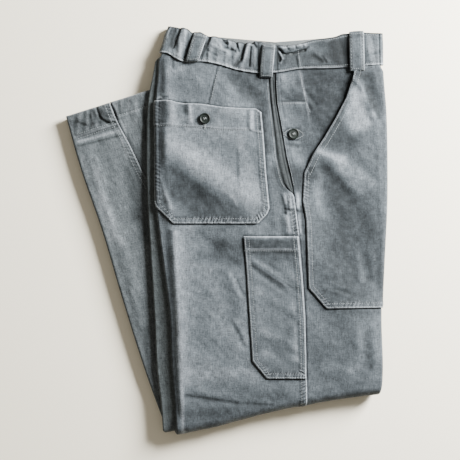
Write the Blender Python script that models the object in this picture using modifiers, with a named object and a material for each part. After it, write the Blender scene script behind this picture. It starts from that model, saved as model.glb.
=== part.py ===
"""Denim work trousers, folded side to side and laid flat with the legs turned under at the knee.

Every cut piece is one solid. The cloth is worked out on an unrolled plan, in millimetres, where x runs
from the back fold (left) to the front fold (right) and y runs up to the waist, and is then laid down:
rolled over the side folds, turned under at the knee and settled over the lower legs. The origin is at
the middle of the footprint, on the surface that the trousers rest on.
"""
import math

import bmesh
import bpy
import numpy as np
from mathutils import Matrix, Vector

MM = 0.001
CLOTH = 1.4             # thickness of one ply of denim
GAP = 0.3               # space kept between neighbouring pieces
BAND_CLOTH = 2.0        # folded waistband
LOOP_CLOTH = 1.8        # folded belt loop
CORE_DROP = CLOTH + GAP + 0.05      # hidden layers below the face of the outer cloth
BAND_LIFT = GAP + BAND_CLOTH        # face of the waistband above the face of the panels
BAND_TOP = 285.0
BAND_DEPTH = 45.0
BAND_FOOT = BAND_TOP - BAND_DEPTH
BAND_INSET = 3.5        # panels are drawn in this far inside the waistband
BAND_TUCK = (229.0, 238.5)      # y where the panels start to draw in, and where they are fully in
PANEL_TOP = BAND_FOOT + 5.0
LEG_HEIGHT = 12.1       # turned-under legs, as they lie
BEND_HEIGHT = LEG_HEIGHT + GAP      # underside of the upper stack where it lies on them
BEND_STACK = 13.0       # thickness of the upper stack at the knee fold
BEND_ROUND = 0.95       # width of the bend over its height
BEND_PITCH = 12.5       # length of plan taken up by one radian of the bend
FOLD_TILT = math.radians(11.28)
FOLD_LEFT = (-69.9, -295.8)         # left end of the knee fold
DRAPE = 75.0            # distance over which the upper stack comes down from the lower legs
DRAPE_CORNER = 12.0     # rounding of that drape at the corner of the hem
FOLD_RISE = 60.0        # distance over which the stack rises to the knee fold
TILT_FROM = -60.0       # rows start to turn towards the knee fold here
PLAN_SHIFT = (-0.56, 0.17)      # moves the plan so that the origin is the middle of the footprint
SIDE_WRAP = 3.0         # cloth turned in below a rolled side edge
ROLL_TURNS = (180, 144, 108, 72, 36, 0)

# Upper stack: y, left edge, right edge, left edge of the leg beneath, thickness.
SECTIONS = np.array((
    (-288.6, -71.5, 220.0, -90.8, 13.0),
    (-240.0, -74.6, 222.0, -95.0, 13.0),
    (-210.0, -77.4, 224.2, -99.0, 13.2),
    (-126.0, -81.5, 223.9, -104.0, 14.0),
    (-43.5, -91.8, 227.7, -109.3, 14.0),
    (34.8, -101.4, 231.8, -114.1, 14.0),
    (116.0, -102.4, 232.3, -115.9, 13.0),
    (183.0, -102.4, 230.5, -113.0, 12.0),
    (210.0, -99.5, 228.3, -107.5, 11.4),
    (240.0, -97.5, 226.6, -101.0, 11.0),
    (262.0, -91.0, 226.4, -94.0, 11.0),
    (285.0, -82.5, 225.8, -85.0, 11.0)))

# Side seam and, above it, the two edges of the side opening: y, edge of the back, edge of the front.
SIDE_EDGES = np.array((
    (-290.0, 116.1, 116.1), (-216.0, 115.4, 115.4), (-126.0, 113.7, 113.7), (-66.7, 109.9, 109.9),
    (-8.3, 104.8, 104.8), (50.0, 97.3, 97.3), (58.0, 82.8, 96.6), (78.0, 79.0, 92.5),
    (104.0, 72.4, 86.5), (136.0, 69.5, 81.5), (189.0, 64.0, 72.8), (214.0, 62.1, 71.6), (245.0, 60.5, 71.0)))

# How far the knee fold dips inside a straight line: x, dip.
FOLD_DIP = np.array((
    (-70.0, 0.0), (-8.0, 0.7), (40.0, 4.1), (85.0, 5.8), (116.0, 5.2), (147.0, 4.8), (186.0, 2.9), (221.0, 0.0)))

# Rise and dip of the waistband along the waist: x, lower edge, upper edge.
WAIST_WAVE = np.array((
    (-98.0, 16.0, 11.0), (-87.0, 14.6, 10.8), (-68.6, 3.6, 7.0), (-57.0, 0.7, 4.0), (-36.0, 1.5, -2.0),
    (-13.0, -2.2, -7.0), (14.6, -9.5, -12.6), (42.0, -13.4, -14.6), (79.0, -12.0, -16.8), (108.0, -7.3, -15.3),
    (118.0, -7.0, -11.8), (158.0, -6.3, -5.1), (180.0, -5.0, 0.0), (226.0, -1.0, 0.0)))
WAVE_FROM = 10.0        # the wave fades out down to this y

# Folds of the cloth: x and y of one end, x and y of the other, width, height (a dip is negative).
FOLDS = np.array((
    (-72.0, -40.0, -58.0, -275.0, 17.0, 1.4),
    (-84.0, 175.0, -86.0, 45.0, 13.0, 0.9),
    (187.6, 220.0, 214.0, 150.0, 14.0, 1.6),
    (160.0, 70.0, 170.0, -60.0, 30.0, 1.4),
    (-63.0, -228.0, 62.0, -240.0, 14.0, -1.1),
    (-92.0, 70.0, -35.0, 28.0, 15.0, -1.4),
    (-88.0, 110.0, -25.0, 62.0, 16.0, 1.2),
    (40.0, -44.0, 96.0, -86.0, 12.0, -0.8),
    (128.0, 205.0, 104.0, 110.0, 13.0, -1.2),
    (0.0, -150.0, 70.0, -120.0, 40.0, 1.0)))

# Turned-under legs: distance from the hem, x and y of the left edge, x and y of the right edge,
# width of the cloth from the left edge to where the upper stack hides it.
LEG_ROWS = np.array((
    (0.0, -233.0, 163.6, -27.0, 229.1, 152.0),
    (71.0, -213.7, 95.4, 6.4, 166.8, 129.0),
    (176.0, -179.2, -4.4, 60.0, 66.7, 94.0),
    (276.0, -150.5, -100.0, 112.2, -29.0, 72.0),
    (402.0, -111.5, -220.0, 187.6, -174.0, 39.0),
    (473.0, -86.4, -287.0, 218.0, -229.0, 27.0)))

# Rows across the upper stack, at the middle of the trousers, from the waist down to the knee fold.
WAIST_ROWS = (283.5, 272.0, 260.0, 249.0)
PANEL_ROWS = (PANEL_TOP, 238.5, 234.0, 222.0, 206.0, 188.0, 170.0, 152.0, 134.0, 116.0, 97.0, 78.0, 58.0,
              50.0, 32.0, 12.0, -8.0, -32.0, -57.0, -82.0, -107.0, -132.0, -157.0, -182.0, -206.0, -226.0,
              -242.0)
OPENING_FOOT = 58.0
BEND_TURNS = (0.0, 22.5, 45.0, 67.5, 90.0, 112.5, 135.0, 157.5)
TAIL = 4.0              # hidden layers run on this far past the bend
SINK = 3.2              # depth that the upper hidden layers run into the lower ones
SINK_SPAN = (34.0, 46.0)        # from the edge of the leg beneath to the start and the end of that step

DENIM = (0.235, 0.270, 0.275, 1.0)
DENIM_SHADE = (0.125, 0.145, 0.148, 1.0)
DENIM_WORN = (0.275, 0.310, 0.315, 1.0)
BUTTON = (0.050, 0.062, 0.056, 1.0)


# Clear the scene and open the two collections.
for old in list(bpy.data.objects):
    bpy.data.objects.remove(old, do_unlink=True)

TROUSERS = bpy.data.collections.new("folded_work_trousers")
CUTTERS = bpy.data.collections.new("cutters")
for group in (TROUSERS, CUTTERS):
    bpy.context.scene.collection.children.link(group)


# Curves through the tables.

def smooth(t):
    """Ease from 0 to 1."""
    t = np.clip(t, 0.0, 1.0)
    return t * t * (3.0 - 2.0 * t)


def through(table, column, place):
    """Smooth curve through one column of a table, straight beyond its ends."""
    at, value = table[:, 0], table[:, column]
    slope = np.gradient(value, at)
    place = np.asarray(place, float)
    i = np.clip(np.searchsorted(at, place) - 1, 0, len(at) - 2)
    step = at[i + 1] - at[i]
    t = np.clip((place - at[i]) / step, 0.0, 1.0)
    curve = ((1 + 2 * t) * (1 - t) ** 2 * value[i] + t * (1 - t) ** 2 * step * slope[i]
             + t * t * (3 - 2 * t) * value[i + 1] - t * t * (1 - t) * step * slope[i + 1])
    before = np.minimum(place - at[0], 0.0) * slope[0]
    after = np.maximum(place - at[-1], 0.0) * slope[-1]
    return curve + before + after


# The upper stack, from plan to place.

def under_band(y):
    """1 under the waistband, 0 below it."""
    return smooth((y - BAND_TUCK[0]) / (BAND_TUCK[1] - BAND_TUCK[0]))


def edges(y):
    """Left edge, right edge and thickness of the upper stack's panels."""
    inset = BAND_INSET * under_band(y)
    return through(SECTIONS, 1, y) + inset, through(SECTIONS, 2, y) - inset, through(SECTIONS, 4, y)


def past_fold(x, y):
    """Distance past the line where the cloth starts to turn under at the knee."""
    along = (x - FOLD_LEFT[0]) * math.sin(FOLD_TILT) - (y - FOLD_LEFT[1]) * math.cos(FOLD_TILT)
    return along + BEND_ROUND * BEND_STACK + through(FOLD_DIP, 1, np.clip(x, -70.0, 221.0))


def fold_line(x):
    """y of the line where the cloth starts to turn under."""
    return past_fold(x, 0.0) / math.cos(FOLD_TILT)


MIDDLE = 60.0           # x where the rows are named
FOLD_MIDDLE = float(fold_line(MIDDLE))


def row_line(row, x):
    """y along a row: level in the upper half, and turning to follow the knee fold."""
    return row + smooth((TILT_FROM - row) / (TILT_FROM - FOLD_MIDDLE)) * (fold_line(x) - FOLD_MIDDLE)


def over_legs(x, y):
    """Distance inside the outline of the turned-under legs, less than 0 outside it."""
    hem_left, hem_right = LEG_ROWS[0, 1:3], LEG_ROWS[0, 3:5]
    fold_right = LEG_ROWS[-1, 3:5]
    sides = []
    for a, b in ((hem_left, hem_right), (hem_right, fold_right)):
        run = (b - a) / np.hypot(*(b - a))
        sides.append((x - a[0]) * run[1] - (y - a[1]) * run[0])
    return -DRAPE_CORNER * np.log(np.exp(-sides[0] / DRAPE_CORNER) + np.exp(-sides[1] / DRAPE_CORNER))


def underside(x, y):
    """Height of the upper stack's underside: on the lower legs, down to the surface beside them."""
    legs = smooth((over_legs(x, y) + DRAPE) / DRAPE)
    fold = smooth((past_fold(x, y) + FOLD_RISE) / FOLD_RISE)
    return BEND_HEIGHT * (1.0 - (1.0 - legs) * (1.0 - fold))


def wave(x, y):
    """Rise of the cloth in plan, greatest at the waist."""
    up = np.clip((y - BAND_FOOT) / BAND_DEPTH, 0.0, 1.2)
    fade = np.clip((y - WAVE_FROM) / (BAND_FOOT - WAVE_FROM), 0.0, 1.0) ** 3
    x = np.clip(x, -98.0, 226.0)
    return fade * ((1.0 - up) * through(WAIST_WAVE, 1, x) + up * through(WAIST_WAVE, 2, x))


def settle(x, y, n):
    """Place of a point that lies n above the underside of the stack, at x, y of the plan."""
    q = past_fold(x, y)
    turn = np.clip(q / BEND_PITCH, 0.0, math.pi)
    back = np.maximum(q - BEND_PITCH * math.pi, 0.0)
    reach = BEND_ROUND * n * np.sin(turn) - np.maximum(q, 0.0) - back
    up = np.cos(turn)
    z = np.where(q <= 0.0, underside(x, y) + n,
                 BEND_HEIGHT + n * up * np.where(up > 0.0, 1.0, BEND_HEIGHT / BEND_STACK))
    return np.stack((x + reach * math.sin(FOLD_TILT) + PLAN_SHIFT[0],
                     y + wave(x, y) - reach * math.cos(FOLD_TILT) + PLAN_SHIFT[1], z), -1)


def folds(x, y):
    """Height of the cloth's own folds."""
    height = np.zeros(np.broadcast(x, y).shape)
    for ax, ay, bx, by, width, rise in FOLDS:
        run = np.array((bx - ax, by - ay))
        t = np.clip(((x - ax) * run[0] + (y - ay) * run[1]) / (run @ run), 0.0, 1.0)
        away = np.hypot(x - ax - t * run[0], y - ay - t * run[1])
        height = height + rise * np.exp(-(away / width) ** 2)
    return height


def outer_cloth(x, y, lift):
    """Place of the outer cloth of the upper leg, lifted off its face; past an edge it rolls under."""
    left, right, stack = edges(y)
    radius = stack / 4.0
    over_left = np.maximum(left + radius - x, 0.0)
    over_right = np.maximum(x - right + radius, 0.0)
    over = over_left + over_right
    side = np.where(over_left > 0.0, -1.0, 1.0)
    centre = np.where(over_left > 0.0, left + radius, right - radius)
    turn = np.minimum(over / radius, math.pi)
    wrap = np.maximum(over - math.pi * radius, 0.0)
    rolled = centre + side * ((radius + lift) * np.sin(turn) - wrap)
    inner = smooth(np.minimum(x - left - radius, right - radius - x) / 14.0)
    height = stack + lift + folds(x, y) * inner * (1.0 - under_band(y))
    n = np.where(over > 0.0, stack - radius + (radius + lift) * np.cos(turn), height)
    return settle(np.where(over > 0.0, rolled, x), y, n)


# The shared lattice of the upper stack: every outer piece is cut from it, so pieces lie ply on ply.

def side_edge(column, y):
    return np.interp(y, SIDE_EDGES[:, 0], SIDE_EDGES[:, column])


BACK_CELLS = 11         # columns of cloth from the left roll to the cell along the side seam
FRONT_CELLS = 7         # columns from the cell along the side seam to the right roll
SEAM_CELL = 8.0         # width of the cells along the side seam


def across(y, wrap=True):
    """x of the lattice columns at y, left to right."""
    left, right, stack = edges(y)
    radius = stack / 4.0
    turns = np.radians(np.array(ROLL_TURNS))
    back_edge = side_edge(1, y) - GAP / 2.0
    front_edge = side_edge(2, y) + GAP / 2.0
    left_roll = list(left + radius - radius * turns)
    right_roll = list(right - radius + radius * turns[::-1])
    back = list(np.linspace(left + radius, back_edge - SEAM_CELL, BACK_CELLS + 1)[1:]) + [back_edge]
    front = [front_edge] + list(np.linspace(front_edge + SEAM_CELL, right - radius, FRONT_CELLS + 1)[:-1])
    if wrap:
        left_roll.insert(0, left_roll[0] - SIDE_WRAP)
        right_roll.append(right_roll[-1] + SIDE_WRAP)
    return np.array(left_roll + back + front + right_roll)


BACK_COLUMNS = 1 + len(ROLL_TURNS) + BACK_CELLS + 1


def lattice_row(row, wrap=True):
    """x and y of the lattice along one row."""
    x = across(row, wrap)
    y = row_line(row, x)
    for _ in range(5):
        x = np.array([across(at, wrap)[j] for j, at in enumerate(y)])
        y = row_line(row, x)
    return x, y


def bend_row(turn):
    """Row name of a turn of the bend, in degrees."""
    return FOLD_MIDDLE - math.radians(turn) * BEND_PITCH / math.cos(FOLD_TILT)


PANEL_LATTICE = [lattice_row(row) for row in PANEL_ROWS + tuple(bend_row(t) for t in BEND_TURNS)]
PLAN_X = np.array([x for x, y in PANEL_LATTICE])
PLAN_Y = np.array([y for x, y in PANEL_LATTICE])


def flat_y(x, y):
    """Plan y of a point whose y is measured on the trousers as they lie."""
    plan = np.asarray(y, float)
    for _ in range(12):
        plan = y - wave(x, plan)
    return plan


def lay(x, y, lift):
    """Place at plan points x, y, straight between the lattice columns as its facets are."""
    places = []
    for px, py, rise in zip(*np.broadcast_arrays(x, y, lift)):
        columns = across(py)
        on_lattice = outer_cloth(columns, np.full(len(columns), py), rise)
        places.append([np.interp(px, columns, on_lattice[:, axis]) for axis in range(3)])
    return np.array(places)


# Mesh helpers.

def finish(name, colour, roughness):
    """A Principled material."""
    material = bpy.data.materials.new(name)
    material.use_nodes = True
    shader = material.node_tree.nodes["Principled BSDF"]
    shader.inputs["Base Color"].default_value = colour
    shader.inputs["Roughness"].default_value = roughness
    shader.inputs["Metallic"].default_value = 0.0
    material.diffuse_color = colour
    return material


def add_object(name, bm, material, smooth_angle=40.0):
    """Make the mesh an object of the trousers."""
    mesh = bpy.data.meshes.new(name)
    bm.to_mesh(mesh)
    bm.free()
    mesh.materials.append(material)
    mesh.shade_smooth()
    mesh.set_sharp_from_angle(angle=math.radians(smooth_angle))
    body = bpy.data.objects.new(name, mesh)
    TROUSERS.objects.link(body)
    return body


def thicken(body, thickness):
    """Give a face of cloth its thickness, inwards."""
    wall = body.modifiers.new("cloth", "SOLIDIFY")
    wall.thickness = thickness * MM
    wall.offset = -1.0
    wall.use_even_offset = True
    return body


def grid(x, y, place):
    """Triangulated grid on the plan, each vertex with its place kept in a layer."""
    rows, columns = x.shape
    bm = bmesh.new()
    layer = bm.verts.layers.float_vector.new("place")
    bmesh.ops.create_grid(bm, x_segments=columns - 1, y_segments=rows - 1, size=1.0)
    for vert in bm.verts:
        i = round((1.0 - vert.co.y) / 2.0 * (rows - 1))
        j = round((vert.co.x + 1.0) / 2.0 * (columns - 1))
        vert.co = (x[i, j], y[i, j], 0.0)
        vert[layer] = place[i, j]
    bmesh.ops.triangulate(bm, faces=bm.faces[:], quad_method="FIXED")
    return bm


def inside(outline, x, y):
    """True where a point lies inside an outline."""
    hit = False
    for (ax, ay), (bx, by) in zip(outline, np.roll(outline, -1, axis=0)):
        if (ay > y) != (by > y) and x < (bx - ax) * (y - ay) / (by - ay) + ax:
            hit = not hit
    return hit


def cut(bm, outline, snap):
    """Cut a flat grid along an outline and keep what lies inside."""
    reach = 1.0
    for a, b in zip(outline, np.roll(outline, -1, axis=0)):
        low, high = np.minimum(a, b) - reach, np.maximum(a, b) + reach
        near = []
        for face in bm.faces:
            xs = [v.co.x for v in face.verts]
            ys = [v.co.y for v in face.verts]
            if max(xs) > low[0] and min(xs) < high[0] and max(ys) > low[1] and min(ys) < high[1]:
                near.append(face)
        parts = {v for f in near for v in f.verts} | {e for f in near for e in f.edges} | set(near)
        run = Vector((b[0] - a[0], b[1] - a[1], 0.0)).normalized()
        bmesh.ops.bisect_plane(bm, geom=list(parts), dist=snap, plane_co=(a[0], a[1], 0.0),
                               plane_no=(run.y, -run.x, 0.0))
    outside = []
    for face in bm.faces:
        middle = face.calc_center_median()
        if not inside(outline, middle.x, middle.y):
            outside.append(face)
    bmesh.ops.delete(bm, geom=outside, context="FACES")
    bmesh.ops.triangulate(bm, faces=bm.faces[:])


def lay_down(bm):
    """Move each vertex from the plan to its place."""
    layer = bm.verts.layers.float_vector["place"]
    for vert in bm.verts:
        vert.co = vert[layer] * MM
    bmesh.ops.recalc_face_normals(bm, faces=bm.faces[:])


def face_up(bm):
    """Turn the faces so that most of them look up."""
    if sum(face.normal.z * face.calc_area() for face in bm.faces) < 0.0:
        bmesh.ops.reverse_faces(bm, faces=bm.faces[:])


def cloth_piece(name, x, y, place, material, outline=None, thickness=CLOTH, snap=0.5):
    """A piece of cloth whose outer face runs through the given places."""
    bm = grid(x, y, place)
    if outline is not None:
        cut(bm, np.array(outline), snap)
    lay_down(bm)
    bm.normal_update()
    face_up(bm)
    return thicken(add_object(name, bm, material), thickness)


def on_plan(points):
    """Outline measured on the trousers as they lie, taken to the plan."""
    return [(x, float(flat_y(x, y))) for x, y in points]


# Materials.

BODY_CLOTH = finish("denim_body", DENIM, 0.9)
POCKET_CLOTH = finish("denim_pocket", DENIM_WORN, 0.9)
BAND_MATERIAL = finish("denim_waistband", DENIM, 0.9)
LEG_CLOTH = finish("denim_lower_leg", DENIM, 0.9)
CORE_CLOTH = finish("denim_inner_layers", DENIM_SHADE, 0.95)
BUTTON_RESIN = finish("button_resin", BUTTON, 0.45)


# Panels of the upper leg, joined at the side seam and parted at the side opening.

def make_panels():
    place = outer_cloth(PLAN_X, PLAN_Y, 0.0)
    for name, span in (("back_panel", slice(0, BACK_COLUMNS)), ("front_panel", slice(BACK_COLUMNS, None))):
        cloth_piece(name, PLAN_X[:, span], PLAN_Y[:, span], place[:, span], BODY_CLOTH)


PLACKET_TUCK = 6.0      # the placket strip runs on this far below each edge
PLACKET_RIB = -0.4      # crown of the strip between the two edges


def make_side_placket():
    """Strip that closes the side opening from below, with a rounded rib between the two edges."""
    rows = [row for row in PANEL_ROWS if row >= OPENING_FOOT]
    x, y, place = [], [], []
    for row in rows:
        back, front = side_edge(1, row) - GAP / 2.0, side_edge(2, row) + GAP / 2.0
        wide = front - back
        at = np.array((back - PLACKET_TUCK, back, back + 0.12 * wide, back + 0.38 * wide,
                       back + 0.62 * wide, back + 0.88 * wide, front, front + PLACKET_TUCK))
        lift = np.array((-CORE_DROP, -CORE_DROP, -CORE_DROP, PLACKET_RIB, PLACKET_RIB,
                         -CORE_DROP, -CORE_DROP, -CORE_DROP))
        x.append(at)
        y.append(np.full(len(at), row))
        place.append(lay(at, row, lift))
    cloth_piece("side_placket", np.array(x), np.array(y), np.array(place), BODY_CLOTH)


# Patch pockets.

POCKET_LIFT = GAP + 0.05 + CLOTH        # outer face of a pocket above the face of its panel


def make_pockets():
    place = outer_cloth(PLAN_X, PLAN_Y, POCKET_LIFT)
    wrap = 1.4
    back_pocket = on_plan((
        (-104.0, 188.0), (-79.0, 187.5), (-49.0, 183.6), (-7.5, 178.6), (43.0, 177.0), (50.5, 172.0),
        (53.9, 134.0), (57.1, 84.4), (62.0, 32.0), (58.5, 23.5), (45.5, 10.2), (-76.0, 10.2), (-101.0, 34.0)))
    back_pocket += [(float(edges(y)[0]) - wrap, y) for y in (40.0, 70.0, 110.0, 150.0)]
    tool_pocket = on_plan((
        (24.9, -8.0), (103.4, -8.0), (108.9, -66.7), (112.7, -126.0), (114.2, -185.0), (114.0, -215.0),
        (58.1, -214.6), (37.4, -189.5), (32.3, -111.1), (28.6, -51.9)))
    slant = on_plan(((183.3, 221.0), (173.3, 192.6), (158.3, 164.1), (141.7, 135.9), (125.0, 110.9),
                     (112.5, 84.0), (109.8, 43.5), (114.6, 14.5), (116.2, -43.5), (117.6, -82.7),
                     (143.4, -112.7), (222.0, -113.6)))
    front_pocket = [(186.8, BAND_FOOT - 0.5)] + slant
    front_pocket += [(float(edges(y)[1]) + 2.0 * wrap, y)
                     for y in (-113.6, -70.0, -20.0, 40.0, 116.0, 180.0, 220.0, 234.0, BAND_FOOT - 0.5)]
    back, front = slice(0, BACK_COLUMNS), slice(BACK_COLUMNS, None)
    for name, span, outline in (("back_pocket", back, back_pocket), ("tool_pocket", back, tool_pocket),
                                ("front_pocket", front, front_pocket)):
        cloth_piece(name, PLAN_X[:, span], PLAN_Y[:, span], place[:, span], POCKET_CLOTH, outline)


# Waistband: one flattened ring in two pieces, parted at the side opening and again beneath it.

BAND_SPLIT = 74.3
BAND_ROWS = (BAND_TOP,) + WAIST_ROWS[1:] + (PANEL_TOP, BAND_FOOT)
BAND_SPAN = {-1: 164.0, 1: 146.0}       # length of the band's face, back and front
BAND_TURNS = (30, 60, 90, 120, 150)

# Gathers of the elasticated back: x, width, height.
GATHERS = np.array((
    (-83.0, 3.6, 1.1), (-69.0, 3.2, 1.5), (-24.0, 3.4, 1.7), (-11.0, 3.6, 1.4), (2.5, 3.2, 1.8),
    (14.0, 3.6, 1.3), (26.0, 3.2, 1.6), (38.5, 3.4, 1.2), (50.0, 3.0, 0.9)))

# Belt loops: name, x and y of the top, x and y of the foot, width, height of what lies beneath the foot.
LOOPS = (
    ("belt_loop_back", -37.1, 282.0, -49.4, 241.4, 19.0, 0.0),
    ("belt_loop_side", 61.7, 268.0, 57.4, 219.7, 18.6, 0.0),
    ("belt_loop_front", 188.4, 284.6, 190.0, 229.5, 20.0, POCKET_LIFT))


LOOP_CLEAR = (13.5, 18.5)       # gathers start and are full at these distances from a belt loop
PEEK = 3.5              # the under half of the band shows this far above the upper half
BAND_WAVES = (0.25, 7.0)        # height and pitch of the slight waves in the front of the band


def gathers(x):
    """Height of the gathers, flat beneath the belt loops."""
    height = np.zeros(np.shape(x))
    for at, width, rise in GATHERS:
        height = height + rise * np.exp(-((x - at) / width) ** 2)
    for _, top_x, _, foot_x, _, _, _ in LOOPS:
        away = np.abs(x - (top_x + foot_x) / 2.0)
        height = height * smooth((away - LOOP_CLEAR[0]) / (LOOP_CLEAR[1] - LOOP_CLEAR[0]))
    return height


def peek(x, row):
    """How far the under half of the band lies above its upper half in plan."""
    return PEEK * smooth((row - 262.0) / 23.0) * smooth((x + 60.0) / 50.0) * smooth((190.0 - x) / 50.0)


def under_edge(y):
    """Left edge of the leg beneath, drawn in inside the waistband."""
    tuck = under_band(y)
    return (1.0 - tuck) * through(SECTIONS, 3, y) + tuck * (edges(y)[0] + 1.5)


def under_columns(y):
    """x of the columns of the hidden underside, left to right."""
    columns = across(y, wrap=False)
    inner = columns[len(ROLL_TURNS):len(columns) - len(ROLL_TURNS)]
    back, front = inner[3:BACK_CELLS + 1:2], inner[BACK_CELLS + 2::2]
    return np.concatenate((under_edge(y) + np.array(SINK_SPAN), back, front))


def band_strip(name, side, spacing):
    """Half of the waistband: from the split over the top, round the end and back beneath."""
    start = BAND_SPLIT + side * GAP / 2.0
    turns = np.radians(np.array(BAND_TURNS))
    place = []
    for row in BAND_ROWS:
        radius = (float(through(SECTIONS, 4, row)) + BAND_LIFT) / 2.0
        edge = float(through(SECTIONS, 1 if side < 0 else 2, row))
        centre = edge - side * radius
        top_x = np.linspace(start, centre, round(BAND_SPAN[side] / spacing))
        top = lay(top_x, row, BAND_LIFT)
        top[:, 2] += gathers(top_x) if side < 0 else BAND_WAVES[0] * np.sin(top_x / BAND_WAVES[1]) ** 2
        end = settle(centre + side * radius * np.sin(turns), np.full(len(turns), row),
                     radius + radius * np.cos(turns))
        beneath = [x for x in under_columns(row) if side * (x - BAND_SPLIT) > 6.0]
        under_x = np.array([centre] + sorted(beneath, reverse=side > 0) + [start])
        under = settle(under_x, row + peek(under_x, row), np.zeros(len(under_x)))
        ring = np.concatenate((top, end, under))
        place.append(ring[::-1] if side < 0 else ring)
    place = np.array(place)
    around, down = np.meshgrid(np.arange(place.shape[1], dtype=float), np.arange(len(BAND_ROWS), dtype=float))
    bm = grid(around, -down, place)
    lay_down(bm)
    bm.normal_update()
    middle = Vector(place[:, :, :].mean(axis=(0, 1))) * MM
    if sum((face.calc_center_median() - middle).dot(face.normal) for face in bm.faces) < 0.0:
        bmesh.ops.reverse_faces(bm, faces=bm.faces[:])
    thicken(add_object(name, bm, BAND_MATERIAL), BAND_CLOTH)


def make_waistband():
    band_strip("waistband_back", -1, 4.6)
    band_strip("waistband_front", 1, 15.0)


LOOP_ROWS = (279.0, 268.0, 254.0, 246.0, BAND_FOOT + 0.5, BAND_FOOT - 3.0, BAND_FOOT - 7.0)
LOOP_STEP = (BAND_FOOT - 7.0, BAND_FOOT + 0.5)      # y over which a loop steps down off the band's edge
LOOP_PLAY = 0.35        # extra room over the facets beneath
LOOP_CROWN = np.array((0.0, 0.25, 0.3, 0.25, 0.0))  # rise across the width


def make_belt_loops():
    """Folded strips over the waistband; a foot past the band's edge steps down onto the cloth."""
    for name, top_x, top_y, foot_x, foot_y, width, rest in LOOPS:
        top_y, foot_y = float(flat_y(top_x, top_y)), float(flat_y(foot_x, foot_y))
        rows = [top_y] + [row for row in LOOP_ROWS if foot_y + 1.0 < row < top_y - 1.0] + [foot_y]
        x, y, place = [], [], []
        for row in rows:
            down = (top_y - row) / (top_y - foot_y)
            at = top_x + (foot_x - top_x) * down + np.linspace(-0.5, 0.5, len(LOOP_CROWN)) * width
            rise = np.interp(row, LOOP_STEP, (rest, BAND_LIFT)) + GAP + LOOP_PLAY + LOOP_CLOTH
            x.append(at)
            y.append(np.full(len(at), row))
            place.append(lay(at, row, rise + LOOP_CROWN))
        cloth_piece(name, np.array(x), np.array(y), np.array(place), BAND_MATERIAL, thickness=LOOP_CLOTH)


# Buttons.

BUTTON_RADIUS = 8.0
HOLE_RADIUS = 0.9
HOLE_SPREAD = 1.7


def make_button(name, x, y, lift, turn):
    """Turned four-hole button, seated on the cloth at x, y."""
    x, y = np.array([x]), np.array([float(flat_y(x, y))])
    seat = lay(x, y, lift)[0]
    along = lay(x + 6.0, y, lift)[0] - lay(x - 6.0, y, lift)[0]
    up_cloth = lay(x, y + 6.0, lift)[0] - lay(x, y - 6.0, lift)[0]
    normal = Vector(np.cross(along, up_cloth)).normalized()
    profile = ((0.0, 0.0), (6.2, 0.0), (BUTTON_RADIUS, 1.2), (BUTTON_RADIUS - 0.3, 2.3), (6.6, 2.7), (5.2, 1.9),
               (0.0, 1.8))
    bm = bmesh.new()
    verts = [bm.verts.new((r * MM, 0.0, z * MM)) for r, z in profile]
    for a, b in zip(verts, verts[1:]):
        bm.edges.new((a, b))
    button = add_object(name, bm, BUTTON_RESIN)
    screw = button.modifiers.new("turned", "SCREW")
    screw.steps = 18
    screw.render_steps = 18
    screw.use_merge_vertices = True
    screw.merge_threshold = 0.00001
    screw.use_normal_calculate = True
    spin = Matrix.Rotation(turn, 4, "Z")
    tilt = normal.to_track_quat("Z", "Y").to_matrix().to_4x4()
    button.matrix_world = Matrix.Translation(Vector(seat) * MM) @ tilt @ spin
    for k in range(4):
        angle = math.radians(45.0 + 90.0 * k)
        cutter = bmesh.new()
        bmesh.ops.create_cone(cutter, cap_ends=True, segments=6, radius1=HOLE_RADIUS * MM,
                              radius2=HOLE_RADIUS * MM, depth=8.0 * MM)
        mesh = bpy.data.meshes.new(f"{name}_hole_{k}")
        cutter.to_mesh(mesh)
        cutter.free()
        hole = bpy.data.objects.new(mesh.name, mesh)
        CUTTERS.objects.link(hole)
        hole.hide_render = True
        hole.display_type = "WIRE"
        hole.parent = button
        hole.location = (HOLE_SPREAD * math.cos(angle) * MM, HOLE_SPREAD * math.sin(angle) * MM, 0.0)
        bore = button.modifiers.new(f"hole_{k}", "BOOLEAN")
        bore.operation = "DIFFERENCE"
        bore.solver = "EXACT"
        bore.object = hole


def make_buttons():
    make_button("pocket_button", -30.9, 161.7, POCKET_LIFT + GAP + 0.25, 0.3)
    make_button("side_button", 97.6, 140.9, GAP + 0.25, 0.1)


# Turned-under legs.

LEG_PITCH = LEG_HEIGHT / 2.0
LEG_ROLL = LEG_PITCH / 2.0 + 0.05
HEM_RECESS = 2.5
LEG_DIP_FROM = 380.0    # below this the legs follow the dip of the knee fold


def leg_place(run, s, z):
    """Place at a distance from the hem and a distance s from the left edge."""
    left = np.stack((through(LEG_ROWS, 1, run), through(LEG_ROWS, 2, run)), -1)
    right = np.stack((through(LEG_ROWS, 3, run), through(LEG_ROWS, 4, run)), -1)
    run_across = (right - left) / np.linalg.norm(right - left, axis=-1, keepdims=True)
    plan = left + run_across * np.asarray(s, float)[..., None]
    dip = through(FOLD_DIP, 1, np.clip(plan[..., 0], -70.0, 221.0))
    plan[..., 1] += dip * smooth((np.asarray(run) - LEG_DIP_FROM) / (LEG_ROWS[-1, 0] - LEG_DIP_FROM))
    plan += PLAN_SHIFT
    return np.concatenate((plan, np.asarray(z, float)[..., None] * np.ones(plan.shape[:-1] + (1,))), -1)


def leg_width(run):
    row = [through(LEG_ROWS, k, run) for k in (1, 2, 3, 4)]
    return float(np.hypot(row[2] - row[0], row[3] - row[1]))


LEG_CLOTH_END = 466.0
LEG_STOPS = np.concatenate(([0.0, 9.0, 30.0], np.linspace(56.0, LEG_CLOTH_END, 13)))

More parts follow.
